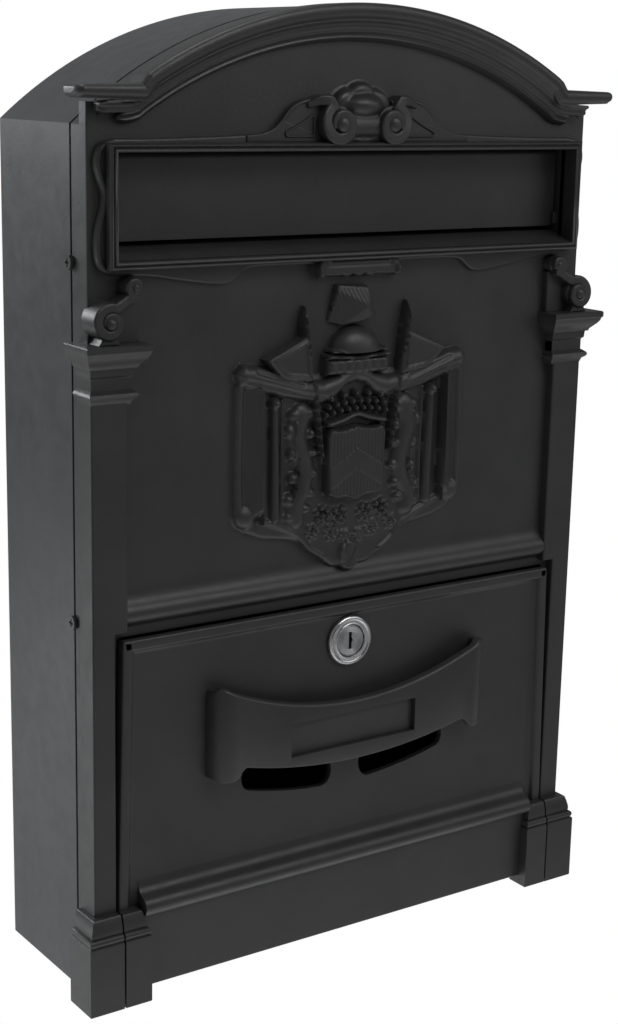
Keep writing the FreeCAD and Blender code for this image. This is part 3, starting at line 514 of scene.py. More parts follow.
CAST = powder_coat("cast_powder_coat", 0.030, 0.42)
DOOR = powder_coat("door_powder_coat", 0.031, 0.42)
SHEET = powder_coat("sheet_powder_coat", 0.040, 0.40, tint=-0.05, peel=0.07)
FLAP = powder_coat("flap_powder_coat", 0.028, 0.40, peel=0.08)
INK = powder_coat("name_plate_black", 0.040, 0.36, peel=0.04)
SCREW = powder_coat("black_screw", 0.045, 0.34, peel=0.05)
ZINC = plated("zinc_steel", (0.55, 0.56, 0.58), 0.30, 0.08)
CHROME = plated("lock_chrome", (0.62, 0.62, 0.63), 0.20, 0.05)
NICKEL = plated("plug_nickel", (0.44, 0.44, 0.45), 0.26, 0.10)
BRASS = plated("wafer_brass", (0.70, 0.52, 0.24), 0.28, 0.06)
RUBBER = rubber("black_rubber", 0.020)

KEPT = {
    "back_panel": SHEET, "floor_panel": SHEET,
    "side_screws": SCREW, "slot_flap": FLAP, "name_plate": INK,
    "flap_rod": ZINC, "rod_clips": ZINC, "hinge_pins": ZINC, "handle_screws": ZINC,
    "lock_washer": ZINC, "lock_nut": ZINC, "lock_cam": ZINC, "cam_washer": ZINC, "cam_screw": ZINC,
    "flap_buffers": RUBBER, "door_buffers": RUBBER, "lock_gasket": RUBBER,
    "lock_wafers": BRASS,
}


def dress_cad_nodes():
    """Gives each CAD node that stays its own finish."""
    for name, material in KEPT.items():
        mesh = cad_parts[name].data
        mesh.materials.clear()
        mesh.materials.append(material)


# ---------------------------------------------------------------- the cast front


def cast(name, parts, **options):
    """A piece of the casting that stands for the front in the CAD model."""
    return piece(name, parts, "root", CAST, ["front_frame"], "cast_powder_coat", **options)


def make_sheet():
    """The bent sheet of the sides and the top, which ends at the seam behind the casting's rim."""
    path = arch_outline(-CASTING_STEP)
    soft = 0.15
    profile = [
        (0, 0), (0, SHEET_EDGE - soft), (soft, SHEET_EDGE), (SHEET_WALL - soft, SHEET_EDGE),
        (SHEET_WALL, SHEET_EDGE - soft), (SHEET_WALL, 0),
    ]
    piece("wrap_sheet", [sweep(path, profile)], "root", SHEET, ["wrap_shell"], "sheet_powder_coat")


def arch_outline(inset):
    """Upright sides under a segmental arch, from the right foot round; the casting's outside is at 0."""
    half, radius = CASTING_HALF - inset, ARCH_RADIUS - inset
    centre = CROWN - CASTING_STEP - ARCH_RADIUS
    spring = math.degrees(math.acos(half / radius))
    top = arc((0, centre), radius, spring, 180 - spring, 60)
    return [(half, SHELL_LOW)] + top + [(-half, SHELL_LOW)]


def make_web():
    """The web with its slot and door openings, the rim, the side flanges and the lip behind the door."""
    foot = SHELL_LOW
    corner = 4.0
    door_hole = [(-OPENING_HALF, foot), (-OPENING_HALF, OPENING_TOP)]
    door_hole += [(OPENING_HALF, OPENING_TOP), (OPENING_HALF, foot)]
    door_hole = rounded(door_hole, [0, corner, corner, 0], closed=False)
    outline = arch_outline(4) + door_hole
    web = plate([outline, rectangle(SLOT_HALF, SLOT_LOW, SLOT_HIGH)], (WEB, FIELD), 0.4)
    rim_back = SHEET_EDGE + SEAM
    rim_profile = [
        (0, rim_back), (0, FIELD - 0.8), (0.25, FIELD - 0.25), (0.8, FIELD), (4.4, FIELD - 0.06),
        (4.4, WEB - 0.5), (3, WEB - 0.5), (3, rim_back),
    ]
    lip = [
        (-LIP_OUT, foot), (-LIP_OUT, LIP_TOP), (LIP_OUT, LIP_TOP), (LIP_OUT, foot),
        (LIP_IN, foot), (LIP_IN, LIP_LOW), (-LIP_IN, LIP_LOW), (-LIP_IN, foot),
    ]
    lip = plate([lip], (CASTING_BACK, 71.5), 0.5)
    threshold = slab((-112, 112), (CASTING_BACK, 69.5), (foot, 13), 0.6)
    keeper = slab((-20, 20), (61.3, 68), (LIP_LOW, LIP_TOP), 0.6)
    parts = [web, sweep(arch_outline(0), rim_profile), lip, threshold, keeper]
    for side in (-1, 1):
        flange = slab((side * FLANGE_IN, side * FLANGE_OUT), (FLANGE_BACK, WEB + 0.5), (8, FLANGE_TOP), 0.5)
        stop = slab((side * STOP_IN, side * STOP_OUT), STOP_DEPTHS, (STOP_LOW, STOP_HIGH), 0.3)
        widths, heights = (side * 121, side * (CASTING_HALF - 0.1)), (FLANGE_TOP, EAR_TOP - 6.5)
        parts += [flange, stop, slab(widths, (CASTING_BACK + 1, FIELD), heights, 0.6)]
    cast("casting_web", parts)


def make_pilasters():
    """The flat pilasters, narrower beside the door."""
    outline = [
        (PILASTER_OUT, 10), (PILASTER_OUT, 262), (PILASTER_IN, 262), (PILASTER_IN, OPENING_TOP),
        (OPENING_HALF, OPENING_TOP), (OPENING_HALF, 10),
    ]
    pilaster = plate([outline], (CASTING_BACK, PILASTER_DEPTH), 0.9)
    cast("pilasters", both(pilaster))


# Each point is (step in from the front member, height above the plinth's foot).
PLINTH_PROFILE = [
    (14, 0), (0.7, 0), (0.2, 0.25), (0, 0.8), (0, 29.8), (0.15, 30.4), (0.9, 30.8),
    (0.5, 31.3), (0.25, 32.2), (0.45, 33.2), (1, 33.7), (1.9, 34), (1.6, 34.8), (1.75, 36.6),
    (2.3, 38.8), (3, 40.9), (3.6, 41.5), (14, 41.5),
]


def make_plinths():
    """The outer parts of the plinths, which stand beside the door."""
    path = [(OPENING_HALF, PLINTH_DEPTH), (PLINTH_HALF, PLINTH_DEPTH), (PLINTH_HALF, CASTING_BACK)]
    profile = [(-step, height) for step, height in PLINTH_PROFILE]
    plinth = sweep(path, profile, plan)
    cast("plinths", both(plinth))


# Each point is (share of the capital's overhang, height below its top).
CAPITAL_PROFILE = [
    (0.07, 0), (0, 0.5), (0, 2.4), (0.10, 3.2), (0.13, 4.2), (0.26, 5.6), (0.45, 7), (0.62, 8.3),
    (0.68, 9.4), (0.82, 9.6), (0.84, 10.4), (0.86, 12.4), (0.98, 13.2), (1, 13.8), (1, 18),
    (0.86, 18.5), (0.70, 19.3), (0.66, 20.2), (0.74, 21.2), (0.92, 22.1), (1.02, 24),
]


def make_capitals():
    """The capitals, whose mouldings return along both sides."""
    side_way = PLINTH_HALF - PILASTER_OUT + 0.1
    front_way = CAPITAL_DEPTH - PILASTER_DEPTH + 0.1
    stretch = front_way / side_way

    def stretched(a, b, rise):
        return a, b * stretch, rise

    profile = [(-side_way * share, CAPITAL_TOP - drop) for share, drop in CAPITAL_PROFILE]
    core = -side_way * 1.02 - 0.6
    profile = [(core, CAPITAL_TOP)] + profile + [(core, profile[-1][1])]
    face = CAPITAL_DEPTH / stretch
    path = [
        (CAPITAL_IN, (FIELD - 1) / stretch), (CAPITAL_IN, face),
        (PLINTH_HALF, face), (PLINTH_HALF, 67.0 / stretch),
    ]
    mouldings = sweep(path, profile, stretched)
    widths, heights = (CAPITAL_IN + side_way, PILASTER_OUT - 0.3), (256, CAPITAL_TOP - 0.05)
    block = slab(widths, (68, PILASTER_DEPTH - 0.2), heights, 0.3)
    cast("capitals", both(mouldings, block))


# Each tier is its middle's drop below the cornice's edge, its ear's end inset, where the ear turns up
# beyond the arc, how much its ear thins towards the end, and its (step up, depth) profile.
CORNICE_TIERS = [
    (3.2, 0, -5.5, 0.24, [
        (3.2, 73), (3.2, 82.2), (2.8, 83.4), (2, 84.2), (0.8, 84.6), (-0.5, 84.5), (-1.6, 83.9),
        (-2.4, 82.9), (-2.9, 81.9), (-3.4, 81.6), (-3.4, 73),
    ]),
    (8.5, 11.4, 0, 0.1, [
        (2.5, 73), (2.5, 81.6), (1.9, 81.75), (1.3, 81.3), (0.9, 80.4), (0.2, 79.6), (-0.8, 79.2),
        (-1.6, 79.5), (-2.2, 79.3), (-2.5, 78.7), (-2.5, 73),
    ]),
    (12.8, 20.4, 0, 0.1, [
        (2.4, 73), (2.4, 78.9), (1.8, 79.05), (1.2, 78.6), (0.8, 77.6), (0.1, 77.2), (-0.6, 77.5),
        (-1.1, 77), (-1.4, 75.9), (-2.1, 75.3), (-2.5, 73),
    ]),
]


def make_cornice():
    """The arched cornice and its ears: a bead, a cove and fine fillets, each tier ending further in."""
    parts = []
    for drop, end_inset, shift, thin, profile in CORNICE_TIERS:
        radius, level = CORNICE_RADIUS - drop, EAR_TOP - drop
        corner = math.sqrt(radius ** 2 - (level - CORNICE_CENTRE) ** 2) + shift
        tip = EAR_HALF - 0.1 - end_inset
        start = math.degrees(math.acos((corner - 2.5) / radius))
        bow = arc((0, CORNICE_CENTRE), radius, 180 - start, start, 80)
        turn = rounded([(-tip, level), (-corner, level), bow[0], bow[1]], [0, 1.6, 1.2, 0], 5, closed=False)
        ends = [(-tip + run, level) for run in (0, 0.12, 0.4, 0.9, 1.6, 2.4, 3.2)] + turn[1:-1]
        path = ends + bow[1:-1] + [(-x, z) for x, z in ends[::-1]]
        widths, shares, placed = [], [], []
        for x, z in path:
            near_end = 1 - min((tip - abs(x)) / 3.2, 1)
            rounding = math.sqrt(max(1 - near_end ** 2, 0))
            slim = 1 - thin * min(max((abs(x) - corner) / (tip - corner), 0), 1)
            widths.append(slim * (0.35 + 0.65 * rounding))
            shares.append(0.6 + 0.4 * rounding)
            placed.append((x, z + profile[0][0] * (1 - slim)))
        parts.append(sweep(placed, profile, widths=widths, shares=shares))
    cast("cornice", parts, sharp=50)


def make_slot_frame():
    """Two fine beads round the letter slot, the walls that run back from it and their sloping floor."""
    outline = [
        (-SLOT_HALF, SLOT_LOW), (-SLOT_HALF, SLOT_HIGH), (SLOT_HALF, SLOT_HIGH), (SLOT_HALF, SLOT_LOW)
    ]
    beads = [(0, 1), (0.2, 0.3), (0.8, 0), (1.35, 0.3), (1.6, 1.3)]
    beads += [(1.85, 1.3), (2.1, 0.5), (2.7, 0.2), (3.2, 0.6), (3.45, 1.6)]
    beads = [(0, TUNNEL_DEPTH)] + [(step, SLOT_DEPTH - drop) for step, drop in beads]
    beads += [(3.6, FIELD - 1), (3, WEB), (3, TUNNEL_DEPTH)]
    deep = TUNNEL_DEPTH
    chute = [(-0.6, 79.2), (0.4, 79.6), (5.4, deep + 0.6), (5.2, deep), (-0.6, deep)]
    floor = sweep([(-SLOT_HALF - 1, SLOT_LOW), (SLOT_HALF + 1, SLOT_LOW)], chute)
    cast("slot_frame", [sweep(outline, beads, closed=True), floor], sharp=50)


def border_outline():
    """The outside of the border round the slot: wavy sides and a lower edge that swells downwards."""
    right = eased([
        (30, 359.4), (46, 358.6), (60, 357.6), (83, 356.8), (105, 356.4), (115.5, 356.4),
        (120.4, 354.9), (122.9, 351.5), (123.5, 346.8), (122.2, 341.3), (120.4, 336.2), (121, 330.5),
        (122.8, 324.2), (123.6, 317), (122.9, 310.2), (120.3, 306.2), (115.5, 304.7), (107, 304.3),
        (98, 303.7), (88, 302.1), (77, 300.4), (69, 299.5), (63, 299.7), (59, 302),
        (55.5, 304.6), (50, 305.5), (36, 305.6), (18, 305.6),
    ], 5)
    return right + [(-x, z) for x, z in right[::-1]]


def make_border():
    """The flat border, with a raised bead along its wavy sides."""
    outline = border_outline()
    hole = rectangle(SLOT_HALF + 2, SLOT_LOW - 2, SLOT_HIGH + 2)
    flat = plate([outline, hole], (FIELD - 1.5, 76.2), 1.1)
    bead = [(0.15, 75), (0.25, 76.4), (0.7, 77.2), (1.4, 77.5), (2.1, 77.2), (2.6, 76.5), (2.8, 75.5)]
    sunk = [-1.6 * min(max((119.5 - abs(x)) / 7, 0), 1) for x, _ in outline]
    ring = sweep(outline, [(-step, depth) for step, depth in bead], closed=True, lifts=sunk)
    cast("slot_border", [flat, ring], sharp=50)


def spiral(centre, start_radius, end_radius, start, turns, count):
    """Points that wind inwards; turns are positive anticlockwise, seen from the front."""
    t = np.linspace(0, 1, count)
    radius = start_radius + (end_radius - start_radius) * t ** 0.85
    angle = math.radians(start) + 2 * math.pi * turns * t
    return list(zip(centre[0] + radius * np.cos(angle), centre[1] + radius * np.sin(angle)))


def scroll_band(path, half_width, back, top, widths=None, lifts=None):
    """A raised band with a rolled edge on both sides, for scrolls."""
    w = half_width
    profile = [
        (-w, back), (-w, top - 1), (-0.82 * w, top - 0.25), (-0.45 * w, top), (0, top - 0.25),
        (0.45 * w, top), (0.82 * w, top - 0.25), (w, top - 1), (w, back),
    ]
    return sweep(path, profile, widths=widths, lifts=lifts)


def make_crest():
    """The crest over the slot: two volutes with sweeping arms, a cushion and a fluted shell."""
    back = FIELD - 1
    eye = (13.5, 362)
    curl = spiral(eye, 8, 3, 100, -1.35, 46)
    lead = eased([(27.5, 369.4), (22, 371.4), (17, 371.2)], 5)
    path = lead[:-1] + curl[3:]
    share = np.linspace(0, 1, len(path))
    widths = np.interp(share, [0, 0.1, 0.3, 0.6, 1], [0.5, 0.9, 1.1, 1, 0.62])
    lifts = np.interp(share, [0, 0.12, 0.35, 0.75, 1], [-5, -2.6, -0.6, 0, -0.5])
    band = scroll_band(path, 2.4, back, 83, widths, lifts)
    boss = [(0, back), (3.4, back), (3.4, 82.2), (2.9, 83.2), (1.8, 83.9), (0, 84.2)]
    button = turned(boss, eye[0] - 0.5, eye[1] + 0.2, 28)
    bed = turned([(0, back), (7.6, back), (7.6, 79), (7, 79.6), (0, 79.8)], *eye, 40)
    shoulder = eased([
        (14, 371.6), (22.5, 372.4), (28, 371.9), (32.8, 370.2), (36.4, 367.2), (39.6, 363.4),
        (43.2, 360.2), (48, 358.4), (56, 357.4),
    ], 8)
    ground = plate([[(14, 354.8)] + shoulder + [(56, 354.8)]], (back, 76.8), 0.5)
    hollow = rounded([(24, 357.2), (38.8, 357.2), (32, 365.2), (24, 365.4)], [1, 1, 4, 1])
    rail = [(-0.55, 76), (-0.55, 77.1), (-0.3, 77.45), (0.3, 77.45), (0.55, 77.1), (0.55, 76)]
    frame_bead = sweep(hollow, rail, closed=True)
    edge = [(0.1, 75.5), (0.15, 76.8), (0.5, 77.4), (1, 77.5), (1.5, 77.3), (1.8, 76.6), (1.8, 75.5)]
    sinking = np.linspace(0.4, -1.2, len(shoulder))
    rim = sweep(shoulder, [(-step, depth) for step, depth in edge], lifts=sinking)
    cast("crest_scrolls", both(band, button, bed, ground, frame_bead, rim), sharp=50)

    def middle(X, Z):
        """The scalloped shell, the soft cushion and the roll between the volutes."""
        spread = np.degrees(np.arctan2(X, Z - 361))
        reach = np.hypot(X, (Z - 361))
        flutes = np.abs(np.cos(np.radians(spread * 4.2)))
        shell = terrace(16.6 + flutes * 1.3 - reach, 3.2, 3.6) + np.where(reach < 17.6, 0.7 * flutes, 0)
        ball = mound(X, Z, 0, 369.6, 10.4, 5.2, 8.4)
        roll = ridge(X, Z, [(-9, 361.4), (9, 361.4)], 5.6, 6.6, False)
        lower = ridge(X, Z, [(-8, 356.4), (0, 355.6), (8, 356.4)], 2, 4.6)
        return over(over(over(shell, ball, 1.2), roll, 1), lower, 0.5)

    cast("crest_shell", [relief(middle, 20, (355, 382), FIELD, 0.4)], sharp=60, weighted=False)


def make_cartouche():
    """The small rolled scroll under the slot."""

    def surface(X, Z):
        A = np.abs(X)
        lower = 300.6 - 1.1 * np.abs(np.cos(np.clip(A, 0, 9) * math.pi / 6.2)) + np.where(A > 9, -0.5, 0)
        body = np.minimum(np.minimum(307.6 - Z, Z - lower), 20.6 - A)
        roll = terrace(body, 1.6, 4.4)
        ends = ridge(A, Z, [(19.2, 301.2), (19.8, 304.2), (18.6, 306.4)], 2.1, 5.6)
        curl = [(15.6, 306.6), (17.8, 307.6), (20.3, 306.6), (21, 304), (19.9, 302)]
        groove = np.exp(-((Z - 304.8) / 0.6) ** 2) * 0.35 * (A < 16)
        return over(over(roll - groove, ends, 0.3), ridge(A, Z, curl, 0.9, 6.2), 0.3)

    cast("cartouche", [relief(surface, 23, (296.5, 310), FIELD, 0.35)], sharp=60, weighted=False)


def make_consoles():
    """The scrolled consoles on the capitals: a small curl above, a large volute below."""
    back = FIELD - 1
    lower_eye = (120.2, 287.2)
    upper_eye = (108.6, 300.6)
    big = spiral(lower_eye, 6.4, 2.2, 118, -1.35, 44)
    small = spiral(upper_eye, 3.3, 1.3, 236, 1.15, 26)
    neck = eased([small[0], (110.4, 296.6), (113.8, 294.8), big[0]], 7)
    path = small[::-1] + neck[1:-1] + big
    share = np.linspace(0, 1, len(path))
    widths = np.interp(share, [0, 0.25, 0.45, 0.65, 1], [0.65, 0.9, 1, 1.15, 0.6])
    lifts = np.interp(share, [0, 0.4, 0.7, 1], [-1.6, -2, 0, 0])
    band = scroll_band(path, 2, back, 83.8, widths, lifts)
    buttons = [
        turned([(0, back), (2.7, back), (2.7, 83.2), (2.2, 84.2), (1.2, 84.8), (0, 85)], *lower_eye, 28),
        turned([(0, back), (1.7, back), (1.7, 81.6), (1.3, 82.4), (0, 82.8)], *upper_eye, 24),
        turned([(0, back), (6.4, back), (6.4, 80.2), (5.8, 81), (0, 81.2)], *lower_eye, 36),
        turned([(0, back), (3.6, back), (3.6, 78.6), (3, 79.2), (0, 79.4)], *upper_eye, 28),
    ]
    left = eased([(115.6, 278.6), (117, 281.4), (116.4, 284)], 5)
    right = eased([(124.4, 284), (123.8, 281.4), (125.4, 278.6)], 5)
    foot = plate([left + right], (back, 82.6), 0.7)
    backing = [(105.4, 278.8), (118, 278.8), (118, 293), (111, 297.5), (105.4, 297.5)]
    backing = plate([rounded(backing, [0, 0, 2, 2, 1])], (back, 77.6), 0.7)
    cast("consoles", both(band, foot, backing, *buttons), sharp=50)


def make_sill():
    """The roll over the door, which runs softly up into the field."""
    profile = [(-6, 70), (-6, 73.9), (-4.9, 74.3), (-4.2, 75.2)]
    angles = np.radians([-60, -40, -20, 0, 20, 40, 55])
    profile += [(4.4 * math.sin(a), 74.0 + 4.3 * math.cos(a)) for a in angles]
    profile += [(4.9, 75.4), (6.4, 74.6), (8.6, 74.15), (11.5, 73.98), (11.5, 70)]
    cast("sill_roll", [sweep([(-PILASTER_IN - 1, SILL), (PILASTER_IN + 1, SILL)], profile)], sharp=50)


def both_sides(points):
    """A whole outline from its right half, listed from the bottom to the top."""
    return list(points) + [(-x, z) for x, z in points[::-1] if x > 0]


def arms_surface(X, Z):
    """A generic heraldic trophy: draped mantle, plain shield, pennants, urn and leaf scrolls."""
    A = np.abs(X)
    ground_outline = both_sides([
        (0, 173.6), (10, 174.6), (17, 179.4), (22, 185.6), (33, 189.4), (46, 191.4), (53.5, 194.6),
        (57.6, 200), (59.6, 206), (60, 236), (59.6, 256), (56, 263), (40, 262),
        (22, 259), (0, 259),
    ])
    ground = inside(X, Z, ground_outline)
    surface = terrace(ground, 3, 1) * np.interp(Z, [190, 210], [2.7, 1])

    def lay(shape, blend=0.45):
        nonlocal surface
        surface = np.where(shape > -0.9, over(surface, shape, blend), np.maximum(surface, shape))

    def bar(points, radius, rise, blend):
        """A rounded bar along a line, on both sides."""
        lay(ridge(A, Z, points, radius, rise), blend)

    def knob(x, z, across, up, rise, blend):
        """A round knob, on both sides."""
        lay(mound(A, Z, x, z, across, up, rise), blend)

    # the mantle: a wide outer fold up to a sharp edge, a column with a ball, and the gathered top
    hanging = (Z > 199) & (Z < 256) & (A > 47.6) & (ground > 0)
    lay(np.where(hanging, np.minimum(0.5 + np.clip(56.4 - A, 0, 9) * 0.68, (Z - 198.6) * 0.9), -1), 0.4)
    bar([(57.4, 203), (57.8, 228), (57.4, 256)], 2.6, 2.8, 0.6)
    bar([(47.2, 199), (47.8, 226), (48.4, 253)], (1, 1.4), 6.2, 0.4)
    bar([(40, 200), (40.4, 224), (41, 248)], (2.9, 2.2), 4.4, 0.5)
    bar([(36.4, 199), (36.2, 222), (36.8, 250)], (1.2, 1), 2.6, 0.5)
    knob(41, 249, 3.1, 3, 6, 0.45)
    gathered = inside(A, Z, [
        (-3, 263), (3.6, 262.6), (9.6, 258.8), (17, 257), (24, 257.8), (37, 261.8),
        (50, 265.6), (56.6, 266.4), (60.6, 262.8), (58.4, 257.4), (49, 254.2), (36, 250.6),
        (24.6, 248.6), (17, 246.9), (10, 249.2), (4.6, 253.8), (-3, 255.6),
    ])
    lay(terrace(gathered, 4.6, 5.4), 0.8)
    lower_crease = eased([(55, 259.6), (40, 255.6), (26, 251.6), (17, 249.4)], 6)
    upper_crease = eased([(50, 262.8), (38, 258.8), (28, 255.6)], 6)
    crease = np.minimum(to_line(A, Z, lower_crease)[0], to_line(A, Z, upper_crease)[0])
    surface = surface - 0.9 * np.exp(-((crease / 0.9) ** 2)) * (gathered > 0.6)
    bar([(46, 199.6), (38, 196.4), (29, 192), (22, 185), (15, 180.4)], 1.6, 3.6, 0.9)
    knob(54, 202, 5.6, 5.2, 4, 0.9)

    # the urn: a dome on a fluted ring, under a faceted stone
    ring = np.minimum(16.4 - A, np.minimum(Z - 258.6, 266.2 - Z))
    lay(terrace(ring, 2.2, 5.4) + np.where(ring > 0, 0.6 * np.abs(np.cos(X * math.pi / 4.4)), 0), 0.3)
    for half, middle, end, radius in ((15.4, 266.1, 266.9, 1.1), (13.8, 268.4, 269, 1)):
        lay(ridge(X, Z, [(-half, end), (0, middle), (half, end)], radius, 7), 0.2)
    dome = np.clip(1 - (X / 13.2) ** 2 - (np.clip(Z - 268.6, 0, 20) / 10.6) ** 2, 0, 1)
    lay(np.where(Z > 268, 8.4 * np.sqrt(dome), -1) - np.where(dome <= 0, 0.6, 0), 0.2)
    stone = [(-14, 281.2), (-7, 279.2), (2.6, 280.2), (9.6, 282.8), (4.8, 296.2), (-10.2, 296.8)]
    stone = inside(X, Z, stone)
    left_face = 6.8 + 0.30 * (X - 3) + 0.10 * (Z - 287)
    right_face = 6.8 - 0.46 * (X - 3) - 0.04 * (Z - 287)
    upper_face = 6.8 - 0.30 * (Z - 287) + 0.12 * X
    lower_face = 6.8 + 0.40 * (Z - 287) + 0.10 * (X - 3)
    facets = np.minimum(np.minimum(left_face, right_face), np.minimum(upper_face, lower_face))
    hatching = 0.2 * np.cos((X + Z * 0.45) * 3.4) * (Z > 285.5)
    lay(np.where(stone > 0, np.minimum(facets + hatching, 2.0 + stone * 2.4), -1), 0.15)

    # the staffs with plain pennants
    pennant = [(24.6, 277.4), (33, 273.6), (46.6, 267.8), (42, 262.8), (37.4, 258.8), (22.6, 256.6)]
    pennant = inside(A, Z, pennant)
    lay(terrace(pennant, 0.9, 5.6) + np.where(pennant > 0, 0.04 * (A - 34), 0), 0.2)
    lay(np.where(np.abs(pennant - 2.4) < 0.55, 6.2 - np.abs(pennant - 2.4), -1), 0.15)
    blade = inside(A, Z, [
        (26.4, 288.8), (28.4, 282), (27.2, 274), (24.6, 262), (22.4, 252), (21.6, 252),
        (22.6, 262), (23.8, 272), (24.8, 280),
    ])
    lay(np.where(blade > 0, 2.6 + np.minimum(blade * 2.6, 3.6), -1), 0.2)
    bar([(22.2, 256), (20.2, 242), (17.8, 225)], (1.2, 0.9), 6.4, 0.25)

    # the shield, its cap and the open band of leaves over it
    shield = inside(X, Z, both_sides([
        (0, 203.6), (5, 205.4), (10.5, 205.6), (14.6, 207.4), (15, 220), (15.6, 233), (13.8, 236.4),
        (7.5, 235.6), (0, 237),
    ]))
    lay(terrace(shield, 1.4, 6), 0.2)
    chevron = np.abs(Z - 222.5 + 0.62 * A) - 4.4
    hatched = (shield > 1.6) & (chevron > 0)
    surface = surface - np.where(hatched, 0.35 + 0.2 * np.cos(X * math.pi / 0.9), 0)
    cap = [(-14.6, 238), (-7, 239.6), (0, 241.6), (7, 239.6), (14.6, 238)]
    lay(ridge(X, Z, cap, 1.5, 6.2), 0.3)
    for row, count in enumerate((9, 8, 5)):
        for i in range(count):
            turn = (i - (count - 1) / 2) / (count - 1) * 2
            x = turn * (15.6 - row * 1.3)
            z = 242.2 + row * 3.3 + 1.8 * (1 - turn ** 2)
            lay(mound(X, Z, x, z, 1.5, 1.8, 5.6 + 0.5 * (row == 1)), 0.1)

    # leaf scrolls on both sides: a full body with a vein, and lobes curling off it
    body = [(27, 243), (29.4, 235), (27.4, 227), (25, 219), (26.4, 211), (29.8, 204)]
    bar(body + [(29, 198)], (5.6, 4.8), 4.6, 1)
    vein = [(30.8, 240), (31.4, 232), (28.8, 224), (29.6, 214), (32.4, 206)]
    bar(vein, (1, 0.8), 5.4, 0.4)
    lobes = (
        (23.4, 243.4, 3.4, 3.4), (31.2, 243.2, 3.4, 2.8), (33.4, 236.4, 2.6, 3.6), (22.4, 234.6, 2.6, 2.8),
        (21.2, 226.4, 3.6, 1.9), (32, 226.6, 2.6, 3.4), (21, 217.4, 3, 2.4), (31.2, 216, 2.8, 3.2),
        (22.4, 209, 3, 2.8), (33.4, 207, 2.8, 3.2), (24.4, 202.4, 3.4, 2.6), (33.4, 199.6, 3, 2.8),
    )
    for lobe in lobes:
        knob(*lobe, 4.4, 0.7)

    # foliage under the shield: small rosettes of leaves
    rosettes = [(6.6, 197.4, 3.3), (15.4, 198.6, 3.2), (10.6, 190.4, 3)]
    for x, z, reach in rosettes + [(20.6, 191.8, 2.7), (3.6, 188, 2.2)]:
        for i in range(6):
            turn = math.radians(i * 60 + x * 17)
            knob(x + reach * math.cos(turn), z + reach * math.sin(turn), 1.9, 1.7, 4, 0.3)
        knob(x, z, 1.4, 1.4, 4.6, 0.2)
    foot = np.hypot(X + 1.5, (Z - 179.6) * 0.9)
    rays = 0.6 * np.abs(np.cos(np.arctan2(X + 1.5, Z - 176.6) * 5))
    lay(terrace(6.2 - foot, 1.4, 4.2) + np.where(foot < 6.2, rays, 0), 0.2)
    return surface


def make_arms():
    cast("heraldic_relief", [relief(arms_surface, 62, (171, 300), FIELD, 0.54)], sharp=70, weighted=False)


# ---------------------------------------------------------------- the door


def door(name, parts, **options):
    return piece(name, parts, "door", DOOR, ["door_panel"], "door_powder_coat", **options)


def window_outline(side):
    """One curved view window: a stretch of a ring with round ends."""
    near, far, half_rise, end_reach = 13, 49, WINDOW_RISE / 2, 5.4
    middle = WINDOW_RADIUS - half_rise
    start, stop = math.asin(near / middle), math.asin(far / middle)

    def at(angle, off):
        radius = middle + off
        return (side * radius * math.sin(angle), WINDOW_CENTRE - radius * math.cos(angle))

    loop = [at(a, half_rise) for a in np.linspace(start, stop, 12)]
    turns = np.linspace(0, math.pi, 13)[1:-1]
    loop += [at(stop + end_reach / middle * math.sin(t), half_rise * math.cos(t)) for t in turns]
    loop += [at(a, -half_rise) for a in np.linspace(stop, start, 12)]
    loop += [at(start - end_reach / middle * math.sin(t), -half_rise * math.cos(t)) for t in turns]
    return loop


def make_door_panel():
    """The sunk panel with its windows and lock hole, inside a raised border."""
    corner = 3.6
    outline = rounded(rectangle(DOOR_HALF, 6, DOOR_TOP), [0, 0, corner, corner])
    lock_hole = arc((0, LOCK_AXIS), 9.4, 0, 350, 36)
    holes = [window_outline(1), window_outline(-1), lock_hole]
    panel = plate([outline] + holes, (DOOR_BACK, PANEL_DEPTH), 0.5)
    edge = [(-DOOR_HALF, 40), (-DOOR_HALF, DOOR_TOP), (DOOR_HALF, DOOR_TOP), (DOOR_HALF, 40)]
    edge = rounded(edge, [0, corner, corner, 0], closed=False)
    profile = [
        (0, DOOR_BACK + 0.4), (0, 78.1), (0.3, 78.7), (1, 79), (3.6, 79), (4.3, 78.8), (4.8, 78.2),
        (5.2, 77.3), (5.7, 76.8), (6.6, 76.55), (7.6, 76.47), (7.6, DOOR_BACK + 0.4),
    ]
    border = sweep(edge, [(-step, depth) for step, depth in profile])
    door("door_casting", [panel, border], sharp=45)


def make_door_base():
    """The base rail under its round ledge, between the door's halves of the plinths."""
    rail = slab((-BLOCK_IN - 2, BLOCK_IN + 2), (DOOR_BACK, 80), (4.7, 39.5), 0.8)
    ledge_profile = [(36.9, 76), (36.9, 79.4), (37.3, 80.3)]
    angles = np.radians([-70, -50, -30, -10, 10, 30, 50, 68])
    ledge_profile += [(41.7 + 4.5 * math.sin(a), 79.3 + 4.7 * math.cos(a)) for a in angles]
    ledge_profile += [(46.6, 79.6), (47.6, 78), (49.6, 76.9), (52.4, 76.5), (52.4, 76)]
    ledge = sweep([(-BLOCK_IN - 2, 0), (BLOCK_IN + 2, 0)], ledge_profile)
    path = [(BLOCK_IN, DOOR_BACK + 0.6), (BLOCK_IN, PLINTH_DEPTH), (DOOR_HALF, PLINTH_DEPTH)]
    profile = [(-min(step, 10), max(height, 0.3)) for step, height in PLINTH_PROFILE]
    block = sweep(path, profile, plan)
    door("door_base", [rail, ledge] + both(block), sharp=45)


# ---------------------------------------------------------------- the pull handle


